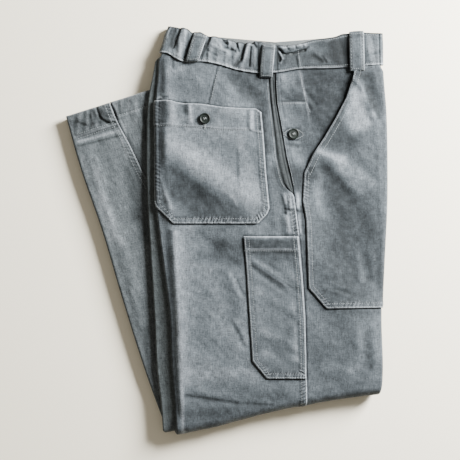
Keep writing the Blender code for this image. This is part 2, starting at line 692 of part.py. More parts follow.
# Side seam of the lower leg: distance from the hem, distance from the left edge.
LEG_SEAM = ((-5.0, 67.0), (0.0, 67.0), (30.0, 70.5), (71.0, 79.0), (110.0, 84.0), (147.0, 90.5), (200.0, 103.0))


def make_lower_leg_panels():
    """Visible cloth of the turned-under leg, rolled over its left edge."""
    turns = np.radians(np.array((180, 144, 108, 72, 36, 0)))
    s, run, place = [], [], []
    for stop in LEG_STOPS:
        width = float(through(LEG_ROWS, 5, stop))
        flat = np.linspace(LEG_ROLL, width, 8)[1:]
        sweep = np.concatenate(((LEG_ROLL + SIDE_WRAP,), LEG_ROLL * (1.0 - np.sin(turns)), flat))
        height = np.concatenate(((LEG_HEIGHT - 2.0 * LEG_ROLL,),
                                 LEG_HEIGHT - LEG_ROLL * (1.0 - np.cos(turns)), np.full(len(flat), LEG_HEIGHT)))
        plan = np.concatenate(((LEG_ROLL - math.pi * LEG_ROLL - SIDE_WRAP,), LEG_ROLL * (1.0 - turns), flat))
        s.append(plan)
        run.append(np.full(len(plan), -stop))
        place.append(leg_place(np.full(len(plan), stop), sweep, height))
    s, run, place = np.array(s), np.array(run), np.array(place)
    seam = [(across_leg, -down) for down, across_leg in LEG_SEAM]
    beyond, foot, top = 260.0, -500.0, 5.0
    back = [(x - GAP / 2.0, y) for x, y in seam]
    back += [(beyond, seam[-1][1]), (beyond, foot), (-30.0, foot), (-30.0, top)]
    front = [(x + GAP / 2.0, y) for x, y in seam] + [(beyond, seam[-1][1]), (beyond, top)]
    cloth_piece("lower_leg_back_panel", s, run, place, LEG_CLOTH, back, snap=0.05)
    cloth_piece("lower_leg_front_panel", s, run, place, LEG_CLOTH, front, snap=0.05)


# Hidden layers: rounded solids of the upper stack and of the turned-under legs, made one.

def loft(rings):
    """Closed solid through rings of the same number of points, capped at both ends."""
    bm = bmesh.new()
    loops = [[bm.verts.new(Vector(point) * MM) for point in ring] for ring in rings]
    for near, far in zip(loops, loops[1:]):
        for k in range(len(near)):
            j = (k + 1) % len(near)
            bm.faces.new((near[j], far[j], far[k], near[k]))
    bm.faces.new(loops[0])
    bm.faces.new(loops[-1][::-1])
    bmesh.ops.recalc_face_normals(bm, faces=bm.faces[:])
    bmesh.ops.triangulate(bm, faces=bm.faces[:], quad_method="FIXED")
    return bm


PLACKET_DROP = CORE_DROP + CLOTH + GAP + 0.05
WAIST_DROP = 0.1
FLOOR_LIFT = BAND_CLOTH + GAP
BEND_CORE = 0.5         # the hidden layers keep this far from the axis of the bend


def core_bottom(x, y, under_left):
    """Height of the hidden underside: sunk into the lower legs, raised over the waistband's under half."""
    step_in = (x - under_left - SINK_SPAN[0]) / (SINK_SPAN[1] - SINK_SPAN[0])
    sink = SINK * smooth((over_legs(x, y) - 5.0) / 18.0) * smooth(step_in)
    q = past_fold(x, y)
    sink = sink * smooth((-q - 10.0) / 14.0)
    return FLOOR_LIFT * under_band(y) + BEND_CORE * smooth(1.0 + q / 8.0) - sink


def core_ring(row):
    """Section of the upper stack's hidden layers along one row."""
    x, y = lattice_row(row, wrap=False)
    lift = np.full(len(x), -WAIST_DROP if row > PANEL_TOP + 1.0 else -CORE_DROP)
    if OPENING_FOOT - 10.0 < row < PANEL_TOP + 1.0:
        split = BACK_COLUMNS - 1
        lift[split - 2:split + 2] = -PLACKET_DROP
    top = outer_cloth(x, y, lift)
    drop = -lift[0]

    def level(at, n):
        at = np.asarray(at, float)
        return settle(at, row_line(row, at), np.asarray(n, float))

    middle_y = float(row_line(row, x[0]))
    left, _, stack = edges(middle_y)
    under = float(under_edge(middle_y))
    right_y = float(row_line(row, x[-1]))
    _, right, right_stack = edges(right_y)
    half, right_half = stack / 2.0, right_stack / 2.0
    floor_left = float(core_bottom(left, middle_y, under))
    floor_right = float(core_bottom(right, right_y, under))
    turns = np.radians(np.array((0, 45, 90, 135, 180)))
    radius = (half - GAP - floor_left) / 2.0
    right_radius = (right_half - GAP - floor_right) / 2.0
    columns = under_columns(float(row_line(row, MIDDLE)))
    bottom = core_bottom(columns, row_line(row, columns), under)
    rings = [
        level([left + 9.0], [half + drop]),
        top,
        level([right - 9.0], [right_half + drop]),
        level([right - 9.0], [right_half - GAP]),
        level(right - 1.5 - right_radius + right_radius * np.sin(turns),
              floor_right + right_radius + right_radius * np.cos(turns)),
        level(columns[::-1], bottom[::-1]),
        level(under + radius - radius * np.sin(turns[::-1]),
              floor_left + radius + radius * np.cos(turns[::-1])),
        level([left + 9.0], [half - GAP])]
    return np.concatenate(rings)


def leg_ring(run):
    """Section of the turned-under legs' hidden layers."""
    width = leg_width(run)
    drop = CORE_DROP
    turns = np.radians(np.array((180, 135, 90, 45, 0)))
    roll = LEG_ROLL - drop
    low = (LEG_HEIGHT - 2.0 * LEG_ROLL - GAP) / 2.0
    top_left = (LEG_ROLL - roll * np.sin(turns), LEG_HEIGHT - LEG_ROLL + roll * np.cos(turns))
    top_right = (width - LEG_ROLL + roll * np.sin(turns[::-1]), LEG_HEIGHT - LEG_ROLL + roll * np.cos(turns[::-1]))
    low_right = (width - low + low * np.sin(turns[::-1]), low + low * np.cos(turns[::-1]))
    low_left = (low - low * np.sin(turns) + 0.4, low + low * np.cos(turns))
    across_top = np.linspace(LEG_ROLL, width - LEG_ROLL, 8)[1:-1]
    across_low = np.linspace(width - low, low, 8)[1:-1]
    shelf = LEG_HEIGHT - 2.0 * LEG_ROLL + drop
    s = np.concatenate(((9.0,), top_left[0], across_top, top_right[0], (width - 9.0, width - 9.0), low_right[0],
                        across_low, low_left[0], (9.0,)))
    z = np.concatenate(((shelf,), top_left[1], np.full(6, LEG_HEIGHT - drop), top_right[1],
                        (shelf, 2.0 * low), low_right[1], np.zeros(6), low_left[1], (2.0 * low,)))
    return leg_place(np.full(len(s), run), s, z)


def make_hidden_layers():
    rows = WAIST_ROWS + PANEL_ROWS + tuple(bend_row(t) for t in BEND_TURNS + (180.0,))
    rings = [core_ring(row) for row in rows]
    rings.append(core_ring(bend_row(180.0) - TAIL))
    core = add_object("hidden_layers", loft(rings), CORE_CLOTH)
    stops = np.concatenate(([HEM_RECESS, 12.0], np.linspace(40.0, 471.0, 13)))
    legs = add_object("legs_inner", loft([leg_ring(run) for run in stops]), CORE_CLOTH)
    TROUSERS.objects.unlink(legs)
    CUTTERS.objects.link(legs)
    legs.hide_render = True
    legs.display_type = "WIRE"
    join = core.modifiers.new("one_solid", "BOOLEAN")
    join.operation = "UNION"
    join.solver = "EXACT"
    join.object = legs


make_panels()
make_side_placket()
make_pockets()
make_waistband()
make_belt_loops()
make_buttons()
make_lower_leg_panels()
make_hidden_layers()
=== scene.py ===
import math

import bpy
import numpy as np
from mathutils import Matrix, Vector


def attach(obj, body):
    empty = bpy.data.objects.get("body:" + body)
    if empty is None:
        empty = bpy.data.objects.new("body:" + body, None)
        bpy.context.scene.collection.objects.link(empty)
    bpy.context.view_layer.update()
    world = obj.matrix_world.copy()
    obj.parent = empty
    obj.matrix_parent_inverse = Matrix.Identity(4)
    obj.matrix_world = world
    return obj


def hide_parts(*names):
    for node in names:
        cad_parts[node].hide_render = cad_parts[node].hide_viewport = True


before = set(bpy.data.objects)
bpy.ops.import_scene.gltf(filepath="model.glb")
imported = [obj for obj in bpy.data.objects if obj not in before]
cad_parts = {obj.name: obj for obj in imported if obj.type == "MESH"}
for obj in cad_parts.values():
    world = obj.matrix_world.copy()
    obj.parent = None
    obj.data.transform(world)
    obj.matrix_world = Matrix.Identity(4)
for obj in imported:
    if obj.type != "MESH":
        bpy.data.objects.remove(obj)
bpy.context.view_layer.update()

# Looks of the folded denim work trousers. Shapes are worked out in millimetres on the same unrolled plan
# as the solids: x runs from the back fold to the front fold, y up to the waist. Every ply follows the same
# folds, so the plies stay a cloth's thickness apart.

MM = 0.001
CLOTH = 1.4             # one ply of denim
GAP = 0.3               # space between neighbouring pieces
BAND_CLOTH = 2.0        # folded waistband
LOOP_CLOTH = 1.8        # folded belt loop
CORE_DROP = CLOTH + GAP + 0.05      # face of the inner layers below the face of the panels
BAND_LIFT = GAP + BAND_CLOTH        # face of the waistband above the stack
POCKET_LIFT = GAP + 0.05 + CLOTH    # face of a pocket above its panel
BAND_TOP = 285.0
BAND_DEPTH = 45.0
BAND_FOOT = BAND_TOP - BAND_DEPTH
BAND_INSET = 3.5        # how far the panels draw in beneath the waistband
BAND_TUCK = (229.0, 238.5)          # rows over which they draw in
PANEL_TOP = BAND_FOOT + 5.0
LEG_HEIGHT = 12.1       # thickness of the turned-under legs
BEND_HEIGHT = LEG_HEIGHT + GAP      # underside of the upper stack on them
BEND_STACK = 13.0       # thickness of the stack round the knee fold
BEND_ROUND = 0.95       # bulge of the fold, to that thickness
BEND_PITCH = 12.5       # plan length of a radian of the fold
FOLD_TILT = math.radians(11.28)     # slant of the knee fold
FOLD_LEFT = (-69.9, -295.8)         # left end of the fold
DRAPE = 75.0            # width of the stack's fall beside the lower legs
DRAPE_CORNER = 12.0     # rounding of that fall at the hem's corner
FOLD_RISE = 60.0        # width of the stack's rise towards the knee fold
TILT_FROM = -60.0       # row from which the rows turn with the fold
PLAN_SHIFT = (-0.56, 0.17)          # from the plan to the solids' origin
SIDE_WRAP = 3.0         # cloth that runs on past half a turn at a side
MIDDLE = 60.0
WAVE_FROM = 10.0        # row above which the rise of the waist is felt
LEG_ROLL = LEG_HEIGHT / 4.0 + 0.05  # radius of the leg's rolled left edge
LEG_CLOTH_END = 466.0
LEG_DIP_FROM = 380.0
BAND_SPLIT = 74.3       # where the halves of the waistband meet
PEEK = -1.5             # under half of the waistband past its upper half

# Upper stack: y, left edge, right edge, left edge of the leg beneath, thickness.
SECTIONS = np.array((
    (-288.6, -71.5, 220, -90.8, 13), (-240, -74.6, 222, -95, 13), (-210, -77.4, 224.2, -99, 13.2),
    (-126, -81.5, 223.9, -104, 14), (-43.5, -91.8, 227.7, -109.3, 14), (34.8, -101.4, 231.8, -114.1, 14),
    (116, -102.4, 232.3, -115.9, 13), (183, -102.4, 230.5, -113, 12), (210, -99.5, 228.3, -107.5, 11.4),
    (240, -97.5, 226.6, -101, 11), (262, -91, 226.4, -94, 11), (285, -82.5, 225.8, -85, 11)))

# Side seam and side opening: y, edge of the back, edge of the front.
SIDE_EDGES = np.array((
    (-290, 116.1, 116.1), (-216, 115.4, 115.4), (-126, 113.7, 113.7), (-66.7, 109.9, 109.9),
    (-8.3, 104.8, 104.8), (46, 97.8, 97.8), (51, 95.2, 97.3), (58, 86.5, 96.4), (66, 81.5, 94.8),
    (78, 78, 92.3), (104, 72.4, 86.5), (136, 69.5, 81.5), (189, 64, 72.8), (214, 62.1, 71.6), (245, 60.5, 71)))

# Dip of the knee fold inside a straight line: x, dip.
FOLD_DIP = np.array((
    (-70, 0), (-8, 0.7), (40, 4.1), (85, 5.8), (116, 5.2), (147, 4.8), (186, 2.9), (221, 0)))

# Rise and dip of the waistband: x, lower edge, upper edge.
WAIST_WAVE = np.array((
    (-98, 16, 11), (-87, 14.6, 10.8), (-68.6, 3.6, 7), (-57, 0.7, 4), (-36, 1.5, -2), (-13, -2.2, -7),
    (14.6, -9.5, -12.6), (42, -13.4, -14.6), (79, -12, -16.8), (108, -7.3, -15.3), (118, -7, -11.8),
    (158, -6.3, -5.1), (180, -5, 0), (226, -1, 0)))

# Turned-under legs: distance from the hem, x and y of the left edge, x and y of the right edge, width shown.
LEG_ROWS = np.array((
    (0, -233, 163.6, -27, 229.1, 152), (71, -213.7, 95.4, 6.4, 166.8, 129), (176, -179.2, -4.4, 60, 66.7, 94),
    (276, -150.5, -100, 112.2, -29, 72), (402, -111.5, -220, 187.6, -174, 39),
    (473, -86.4, -287, 218, -229, 27)))

# Folds and creases: x and y of one end, x and y of the other, width, height (a dip is negative).
FOLDS = np.array((
    (-72, -40, -58, -275, 17, 1.4), (-84, 175, -86, 45, 13, 0.9), (187.6, 220, 214, 150, 14, 1.6),
    (160, 70, 170, -60, 30, 1.4), (-63, -228, 62, -240, 14, -1.1), (-92, 70, -35, 28, 15, -1.4),
    (-88, 110, -25, 62, 16, 1.2), (40, -44, 96, -86, 12, -0.8), (128, 205, 104, 110, 13, -1.2),
    (0, -150, 70, -120, 40, 1)))
CREASES = np.array((
    (-81.2, 127.8, -29, 93, 14, 1.3), (-29, 93, 26.1, 58.2, 15, 1.1), (-76.8, 85.7, -40.6, 53.8, 14, -1.2),
    (-40.6, 53.8, 18.9, 21.9, 15, -1.3), (-53.2, 184.3, -51.5, 158.2, 3.6, 1.1),
    (-60.9, 182.9, -60.2, 168.4, 3.2, -1), (-79.7, 185.8, -78.3, 153.9, 5, 0.9),
    (-91.3, 184.3, -91.3, 153.9, 6, -0.9), (37, 174.2, 36.3, 149.5, 4, 1),
    (29.7, 171.3, 30.5, 146.6, 2.6, -0.8), (46.4, 177.1, 47.9, 145.2, 2.4, -0.9),
    (14.5, 116.2, 16.7, 66.9, 1.9, -0.4), (18.9, 116.2, 21, 66.9, 2.4, 0.25),
    (-95.7, 75.6, -79.7, 32.1, 3.6, 0.8), (-37.7, 177.1, 14.5, 171.3, 8, 0.4),
    (-87, 226.4, -78.3, 191.6, 9, 0.9), (8.7, 220.6, 37.7, 197.4, 8, -1.6), (0, 209, 29, 188.7, 7, 1),
    (-40.6, 217.7, -33.3, 191.6, 7, 0.5), (29, 223.5, 52.2, 203.2, 8, 0.8), (-29, 232.2, -5.8, 226.4, 4, -0.5),
    (-43.5, 1.6, 14.5, -23, 9, 1), (-34.8, -14.3, 11.6, -49.1, 10, -1), (-66.7, -20.1, 5.8, -69.4, 14, 0.7),
    (-72.5, 0.2, -62.3, -263.7, 4.5, 0.9), (-84.1, -2.7, -71, -263.7, 4, -0.7),
    (7.3, -60.7, 24.7, -95.5, 2, -0.8), (1.5, -60.7, 17.4, -95.5, 3, 0.5), (7.3, -133.2, 24.7, -169.5, 2, -0.8),
    (13.1, -130.3, 30.5, -165.1, 3.2, 0.6), (-39.1, -101.3, 0, -127.4, 9, -0.5),
    (-52.2, -60.7, -20.3, -89.7, 8, 0.5), (-49.3, -179.6, 10.2, -205.7, 12, 0.7),
    (-58, -239.1, 14.5, -250, 2.3, -1), (14.5, -250, 63.8, -253, 2.3, -0.7),
    (-49.3, -231.8, 20.3, -242.7, 6, 0.2), (20.3, -242.7, 66.7, -247.1, 5, 0.15),
    (-58, -240.5, -14.5, -249.2, 4, -0.5), (39.2, -46.2, 84.1, -78.1, 3.6, 1.5),
    (37.7, -54.9, 81.2, -88.3, 3.6, -0.9), (49.3, -23, 55.1, -7.1, 3, 0.6), (66.7, -31.7, 95.7, -34.6, 4, -1),
    (60.9, -110, 92.8, -127.4, 7, -0.7), (58, -147.7, 92.8, -166.6, 7, 0.7),
    (69.6, -179.6, 95.7, -199.9, 6, -0.6), (43.5, -101.3, 72.5, -124.5, 6, 0.5),
    (184.2, 219.1, 197.2, 206.1, 3.6, 1.6), (195.8, 203.2, 214.6, 165.5, 5.5, 1),
    (207.4, 211.9, 224.8, 171.3, 6.5, -1.2), (132, 113.3, 188.5, 75.6, 12, 1.6),
    (139.2, 90.1, 176.9, 48, 10, -1.8), (176.9, 48, 197.2, 10.3, 11, -1), (127.6, 78.5, 130.5, 43.7, 7, 1.2),
    (195.8, 108.9, 224.8, 84.3, 9, 1), (200.1, 61.1, 220.4, 20.5, 9, -0.8),
    (197.2, -34.6, 205.9, -66.5, 7, -1.1), (188.5, -31.7, 192.9, -69.4, 5.5, 0.9),
    (217.5, -28.8, 220.4, -78.1, 4, -0.8), (149.4, -75.2, 174, -83.9, 2.6, 0.9),
    (152.3, -83.9, 175.5, -91.2, 2.8, -0.7), (129.1, -14.3, 168.2, -43.3, 10, -0.9),
    (126.2, 30.6, 159.5, 3.1, 9, 0.8), (201.6, -149.2, 205.9, -197, 7, -1),
    (190, -146.3, 192.9, -199.9, 6.5, 0.9), (129.1, -150.6, 174, -188.3, 12, 1),
    (123.3, -194.1, 169.7, -231.8, 11, -0.9), (97.2, 213.3, 107.3, 174.2, 4.5, 0.8),
    (111.7, 200.3, 126.2, 177.1, 2.2, 0.9), (116, 203.2, 130.5, 182.9, 1.8, -0.7),
    (82.7, 193, 110.2, 187.2, 2.6, -0.8), (92.8, 152.4, 118.9, 158.2, 2.6, 0.5),
    (87, 126.3, 107.3, 122, 3.6, -1.1), (124.7, 226.4, 165.3, 203.2, 13, -0.9),
    (150.8, 200.3, 133.4, 171.3, 8, 0.6), (91.4, 53.8, 92.8, 32.1, 2.6, 1.3),
    (102.2, 53.8, 103, 32.1, 2.8, 1.3), (78.3, 49.5, 84.8, 24.8, 3, -1.6), (96.4, 49.5, 98.6, -2.7, 1.6, -0.9),
    (87, 26.3, 91.4, -2.7, 3, 1), (103, 23.4, 105.9, -2.7, 2.2, 0.9), (84.1, 30.6, 111.7, 26.3, 1.8, -0.9),
    (78.3, 17.6, 82.7, -8.5, 4, -0.9), (55.1, 200.3, 60.9, 104.6, 3.6, 0.7)))

# Patches of the cloth, where it lies, partly faded and partly painted light: painted shade in hollows, beside
# raised edges and round the buttons, and painted highlights on crests. Columns: ends, width, paleness (deeper cloth
# is negative).
FADE_AND_SHADE_PATCHES = np.array((
    (172.6, 217.7, 168.2, -231.8, 60, -0.38), (172.6, 49.5, 172.6, -86.8, 36, -0.55),
    (139.2, 217.7, 150.8, 116.2, 26, -0.32), (52.2, 211.9, 58, 87.2, 9, -0.3),
    (60.9, 78.5, 66.7, 3.1, 9, -0.25), (71.1, -46.2, 75.4, -199.9, 22, -0.22),
    (34.8, -20.1, 105.9, -20.1, 7, -0.5), (-88.4, 211.9, -15.9, 203.2, 22, -0.3),
    (82.7, 140.8, 89.9, 148.7, 1.3, -0.9), (89.9, 148.7, 103, 148.9, 1.3, -0.8),
    (103, 148.9, 110.2, 141.7, 1.3, -0.8), (82.7, 140.8, 89.9, 132.7, 1.3, -0.8),
    (89.9, 132.7, 103, 132.1, 1.3, -0.9), (103, 132.1, 110.2, 141.7, 1.3, -0.7),
    (80.3, 140.8, 83.2, 140.8, 1, 0.7), (110.2, 141.4, 112.2, 142, 1, 0.6),
    (-31, 161.7, -30.7, 161.6, 6.6, -0.9), (97.5, 141.1, 97.7, 141, 6.3, -0.7),
    (-31.9, 156, -31.9, 145.2, 1.1, -1), (-31.9, 146, -31.9, 143.1, 1, 0.8),
    (-103.5, 189.3, -99.2, 191, 1.1, 1.2), (-99.2, 191, -95.7, 194.2, 1, 1.2),
    (-95.7, 194.2, -92.2, 190.3, 1, 1.1), (-92.2, 190.3, -84.1, 190.7, 1, 0.8),
    (-91.3, 193.9, -84.1, 193.6, 1.2, -0.9), (-89.9, 217.7, -84.1, 191.6, 9, 0.35),
    (-78.3, 211.9, -43.5, 200.3, 13, 0.12), (-18.8, 214.8, -5.8, 194.5, 10, 0.15),
    (11.6, 217.7, 34.8, 200.3, 8, -0.6), (29, 206.1, 52.2, 188.7, 9, -0.55),
    (-5.8, 229.3, 52.2, 226.4, 7, -0.35), (52.2, 194.5, 58, 151, 4, -0.3),
    (-95.7, 243.8, -91.3, 203.2, 5, -0.5), (-84.1, 229.3, -63.8, 232.2, 7, 0.2),
    (-43.5, 220.6, -31.9, 211.9, 6, 0.2), (-92.8, 187.2, -94.2, 156.8, 7, -0.7),
    (-95.7, 156.8, -97.1, 84.3, 5, -0.6), (-79.7, 182.9, -78.3, 156.8, 5, 0.35),
    (-62.3, 182.9, -60.9, 171.3, 3.5, -0.6), (-52.8, 180, -51.5, 158.2, 2.4, 0.75),
    (-43.5, 180, 20.3, 171.3, 9, 0.1), (37, 171.3, 36.3, 149.5, 2.8, 0.6),
    (29.7, 162.6, 30.5, 148.1, 2.2, -0.35), (47.1, 177.1, 47.9, 143.7, 3.2, -0.6),
    (-77.4, 249.6, -76.2, 232.2, 1.5, -0.8), (-81.2, 126.3, -42, 104.6, 12, 0.38),
    (-42, 104.6, 37.7, 49.5, 19, 0.32), (-69.6, 148.1, 20.3, 139.4, 12, 0.12),
    (-75.4, 84.3, -40.6, 50.9, 13, -0.5), (-40.6, 50.9, 17.4, 24.8, 12, -0.6),
    (-60.9, 64, -14.5, 35, 13, -0.25), (-94.2, 78.5, -79.7, 35, 4, 0.3), (14.5, 113.3, 16.7, 69.8, 1.7, -0.28),
    (-23.2, 72.7, -17.4, 43.7, 8, -0.15), (20.3, 130.7, 43.5, 58.2, 9, 0.15),
    (-98.6, 87.2, -98.6, 35, 3, -0.45), (8.7, 49.5, 20.3, 26.3, 3, 0.3), (24.7, 32.1, 37.7, 20.5, 5, 0.2),
    (-72.5, 20.5, 8.7, 14.7, 3, -0.25), (-72.5, 3.1, 20.3, -5.6, 7, 0.12), (-37.7, 0.2, 0, -14.3, 7, -0.25),
    (-65.2, -2.7, -55.1, -246.3, 5, 0.16), (-73.9, -2.7, -60.9, -294.2, 2.6, 0.95),
    (-84.1, -2.7, -71, -292.7, 4.2, -0.55), (-52.2, -266.6, 52.2, -257.9, 11, -0.5),
    (-56.5, -284, -17.4, -281.1, 9, -0.4), (-52.2, -28.8, 14.5, -101.3, 20, 0.06),
    (-37.7, -144.8, 20.3, -217.3, 22, -0.1), (-17.4, -37.5, 37.7, -46.2, 10, -0.12),
    (16, -68, 24.7, -89.7, 1.8, -0.4), (13.1, -136.1, 23.2, -156.4, 1.8, -0.4),
    (5.8, -60.7, 20.3, -81, 3.5, 0.2), (-58, -239.1, 14.5, -250, 2.4, -0.5),
    (14.5, -250, 66.7, -253, 2.2, -0.4), (-43.5, -231.8, 34.8, -240.5, 5, 0.12),
    (-58, -228.9, -31.9, -237.6, 4, -0.25), (72.5, -234.7, 107.3, -252.1, 5, -0.15),
    (30.5, -15.8, 105.9, -15.8, 3.2, -0.35), (34.8, -29.6, 104.4, -29.6, 1.8, -0.6),
    (30.5, -9.3, 105.9, -9.3, 1.5, 0.5), (37.7, -37.5, 78.3, -63.6, 4, 0.35),
    (40.6, -46.2, 95.7, -82.5, 1.7, -0.6), (46.4, -40.4, 72.5, -54.9, 4, -0.2),
    (43.5, -86.8, 84.1, -115.8, 8, 0.12), (52.2, -101.3, 92.8, -124.5, 6, -0.2),
    (49.3, -144.8, 95.7, -168, 6, 0.2), (63.8, -173.8, 95.7, -191.2, 6, -0.25),
    (34.8, -57.8, 40.6, -173.8, 4, -0.2), (78.3, -46.2, 101.5, -72.3, 6, 0.25),
    (95.7, -101.3, 101.5, -188.3, 3.5, 0.25), (84.1, -127.4, 89.9, -176.7, 5, -0.1),
    (82.7, 223.5, 94.3, 209, 5, 0.25), (75.4, 200.3, 107.3, 197.4, 5, -0.1),
    (71.1, 186.6, 113.1, 188.8, 1.8, -0.75), (75.4, 182.9, 116, 182.9, 3, 0.25),
    (84.1, 171.3, 113.1, 162.6, 9, 0.12), (107.3, 223.5, 113.1, 200.3, 1.6, 0.45),
    (113.1, 200.3, 120.4, 174.2, 1.5, 0.4), (110.2, 220.6, 116, 198.8, 1.4, -0.45),
    (116, 194.5, 124.7, 182.9, 1.6, -0.45), (92.8, 197.4, 136.3, 185.8, 15, -0.5),
    (116, 217.7, 169.7, 211.9, 14, -0.8), (107.3, 171.3, 147.9, 156.8, 15, -0.4),
    (89.9, 116.2, 107.3, 64, 7, -0.3), (124.7, 194.5, 159.5, 182.9, 12, -0.6),
    (174, 219.1, 163.9, 175.6, 5.5, -0.95), (163.9, 175.6, 145, 145.2, 5.5, -0.85),
    (145, 145.2, 123.3, 113.3, 4.5, -0.6), (142.1, 206.1, 150.8, 197.4, 5, 0.3),
    (107.3, 145.2, 124.7, 122, 9, -0.25), (87, 126.3, 104.4, 122.7, 2.6, -0.6),
    (94.3, 113.3, 105.9, 101.7, 5, 0.3), (88.5, 148.1, 82.7, 142.3, 2.5, -0.3),
    (95.7, 101.7, 101.5, 66.9, 3.5, 0.2), (184.2, 200.3, 197.2, 156.8, 11, 0.95),
    (172.6, 177.1, 182.7, 148.1, 8, 0.6), (198.7, 203.2, 214.6, 168.4, 3.4, 0.35),
    (203, 209, 221.9, 165.5, 3.2, -0.75), (211.7, 223.5, 223.3, 182.9, 6, -0.5),
    (156.6, 145.2, 182.7, 129.2, 9, -0.55), (150.8, 133.6, 165.3, 122, 6, -0.2),
    (132, 116.2, 165.3, 104.6, 7, 0.65), (165.3, 104.6, 211.7, 66.9, 11, 0.5),
    (194.3, 148.1, 220.4, 116.2, 9, 0.15), (142.1, 91.5, 159.5, 72.7, 5.5, -0.6),
    (159.5, 72.7, 174, 49.5, 7.5, -0.5), (162.4, 52.4, 175.5, -14.3, 10, -0.5),
    (174, 45.1, 211.7, -4.2, 6, -0.35), (124.7, 75.6, 139.2, 23.4, 6, 0.35),
    (133.4, 84.3, 139.2, 66.9, 3.2, 0.35), (185.6, 35, 214.6, -14.3, 12, -0.22),
    (133.4, -14.3, 159.5, -86.8, 13, 0.08), (197.2, 49.5, 217.5, -2.7, 6, -0.25),
    (217.5, 116.2, 224.8, -101.3, 3, -0.3), (200.1, -37.5, 208.8, -69.4, 6, -0.35),
    (191.4, -37.5, 194.3, -72.3, 5, 0.25), (217.5, -28.8, 219, -78.1, 3.5, -0.4),
    (150.8, -46.2, 182.7, -66.5, 9, -0.15), (136.3, -78.1, 165.3, -82.5, 2.2, 0.35),
    (139.2, -86.8, 162.4, -91.2, 2, -0.35), (111.7, 84.3, 121.8, 90.1, 2, -0.7),
    (121.8, 90.1, 133.4, 92.2, 2, -0.5), (118.9, 94.4, 133.4, 96.6, 2.4, 0.25),
    (124.7, -124.5, 150.8, -144.8, 12, 0.1), (150.8, -144.8, 211.7, -205.7, 20, -0.12),
    (200.1, -150.6, 205.9, -197, 6, -0.3), (190, -150.6, 191.4, -202.8, 5, 0.25),
    (124.7, -173.8, 145, -226, 10, -0.15), (121.8, -228.9, 217.5, -211.5, 5, 0.15),
    (182.7, -118.7, 217.5, -118.7, 4, -0.25), (114.6, -217.3, 116, -252.1, 1.6, 0.45),
    (107.3, -220.2, 108.8, -252.1, 2.2, -0.3), (84.1, 53.8, 85.6, 40.8, 2.4, 0.6),
    (89.9, 52.4, 92.8, 35, 2.2, 0.75), (101.5, 52.4, 103, 35, 2.8, 0.75), (76.9, 48, 84.1, 26.3, 3.2, -0.9),
    (95, 49.5, 97.2, 0.2, 1.7, -0.7), (107.3, 35, 113.1, -2.7, 1.8, -0.85), (87, 23.4, 89.9, 0.2, 3, 0.55),
    (101.5, 20.5, 105.9, -2.7, 2.2, 0.6), (109.5, 78.5, 109.5, -2.7, 1.6, -0.5),
    (84.1, 30.6, 111.7, 26.3, 1.7, -0.55), (78.3, 14.7, 82.7, -5.6, 4, -0.4),
    (111.7, -2.7, 116, -211.5, 2, -0.35), (14.5, 223.5, 52.2, 217.7, 12, -0.95),
    (29, 200.3, 52.2, 182.9, 11, -0.8), (52.2, 168.4, 60.9, 116.2, 6, -0.8),
    (66.7, 223.5, 72.5, 145.2, 6.5, -1.3), (72.5, 145.2, 85.6, 72.7, 6.5, -1.2),
    (78.3, 87.2, 124.7, 81.4, 10, -1.1), (81.2, 64, 110.2, 64, 9, -0.8), (-92.8, 69.8, -72.5, 58.2, 9, -0.4),
    (-72.5, 50.9, -49.3, 37.9, 10, -0.8), (-43.5, 26.3, 14.5, 16.1, 8, -0.75), (-29, 3.1, 20.3, -2.7, 9, -0.4),
    (-11.6, -20.1, 20.3, -20.1, 10, -0.8), (-37.7, -34.6, 20.3, -43.3, 9, -0.4),
    (-2.9, -60.7, 14.5, -118.7, 10, -0.35), (29, -25.9, 92.8, -34.6, 8, -0.7),
    (-58, -243.4, 92.8, -240.5, 9, -0.35), (-58, -262.3, 0, -263.7, 8, -0.3),
    (-43.5, -208.6, 34.8, -208.6, 12, 0.2), (60.9, -176.7, 95.7, -188.3, 8, 0.45),
    (139.2, -197, 182.7, -202.8, 9, 0.4), (124.7, 223.5, 156.6, 191.6, 10, -0.9),
    (182.7, 229.3, 208.8, 223.5, 7, -0.7), (205.9, 220.6, 210.3, 180, 6, -1),
    (162.4, 87.2, 191.4, 58.2, 9, 0.6), (145, 66.9, 168.2, 40.8, 6, -0.9),
    (130.5, 119.1, 171.1, 104.6, 9, 0.2)))

# Gathers of the elasticated back: x, width, height.
GATHERS = np.array((
    (-83, 3.6, 1.1), (-69, 3.2, 1.5), (-24, 3.4, 1.7), (-11, 3.6, 1.4), (2.5, 3.2, 1.8), (14, 3.6, 1.3),
    (26, 3.2, 1.6), (38.5, 3.4, 1.2), (50, 3, 0.9)))

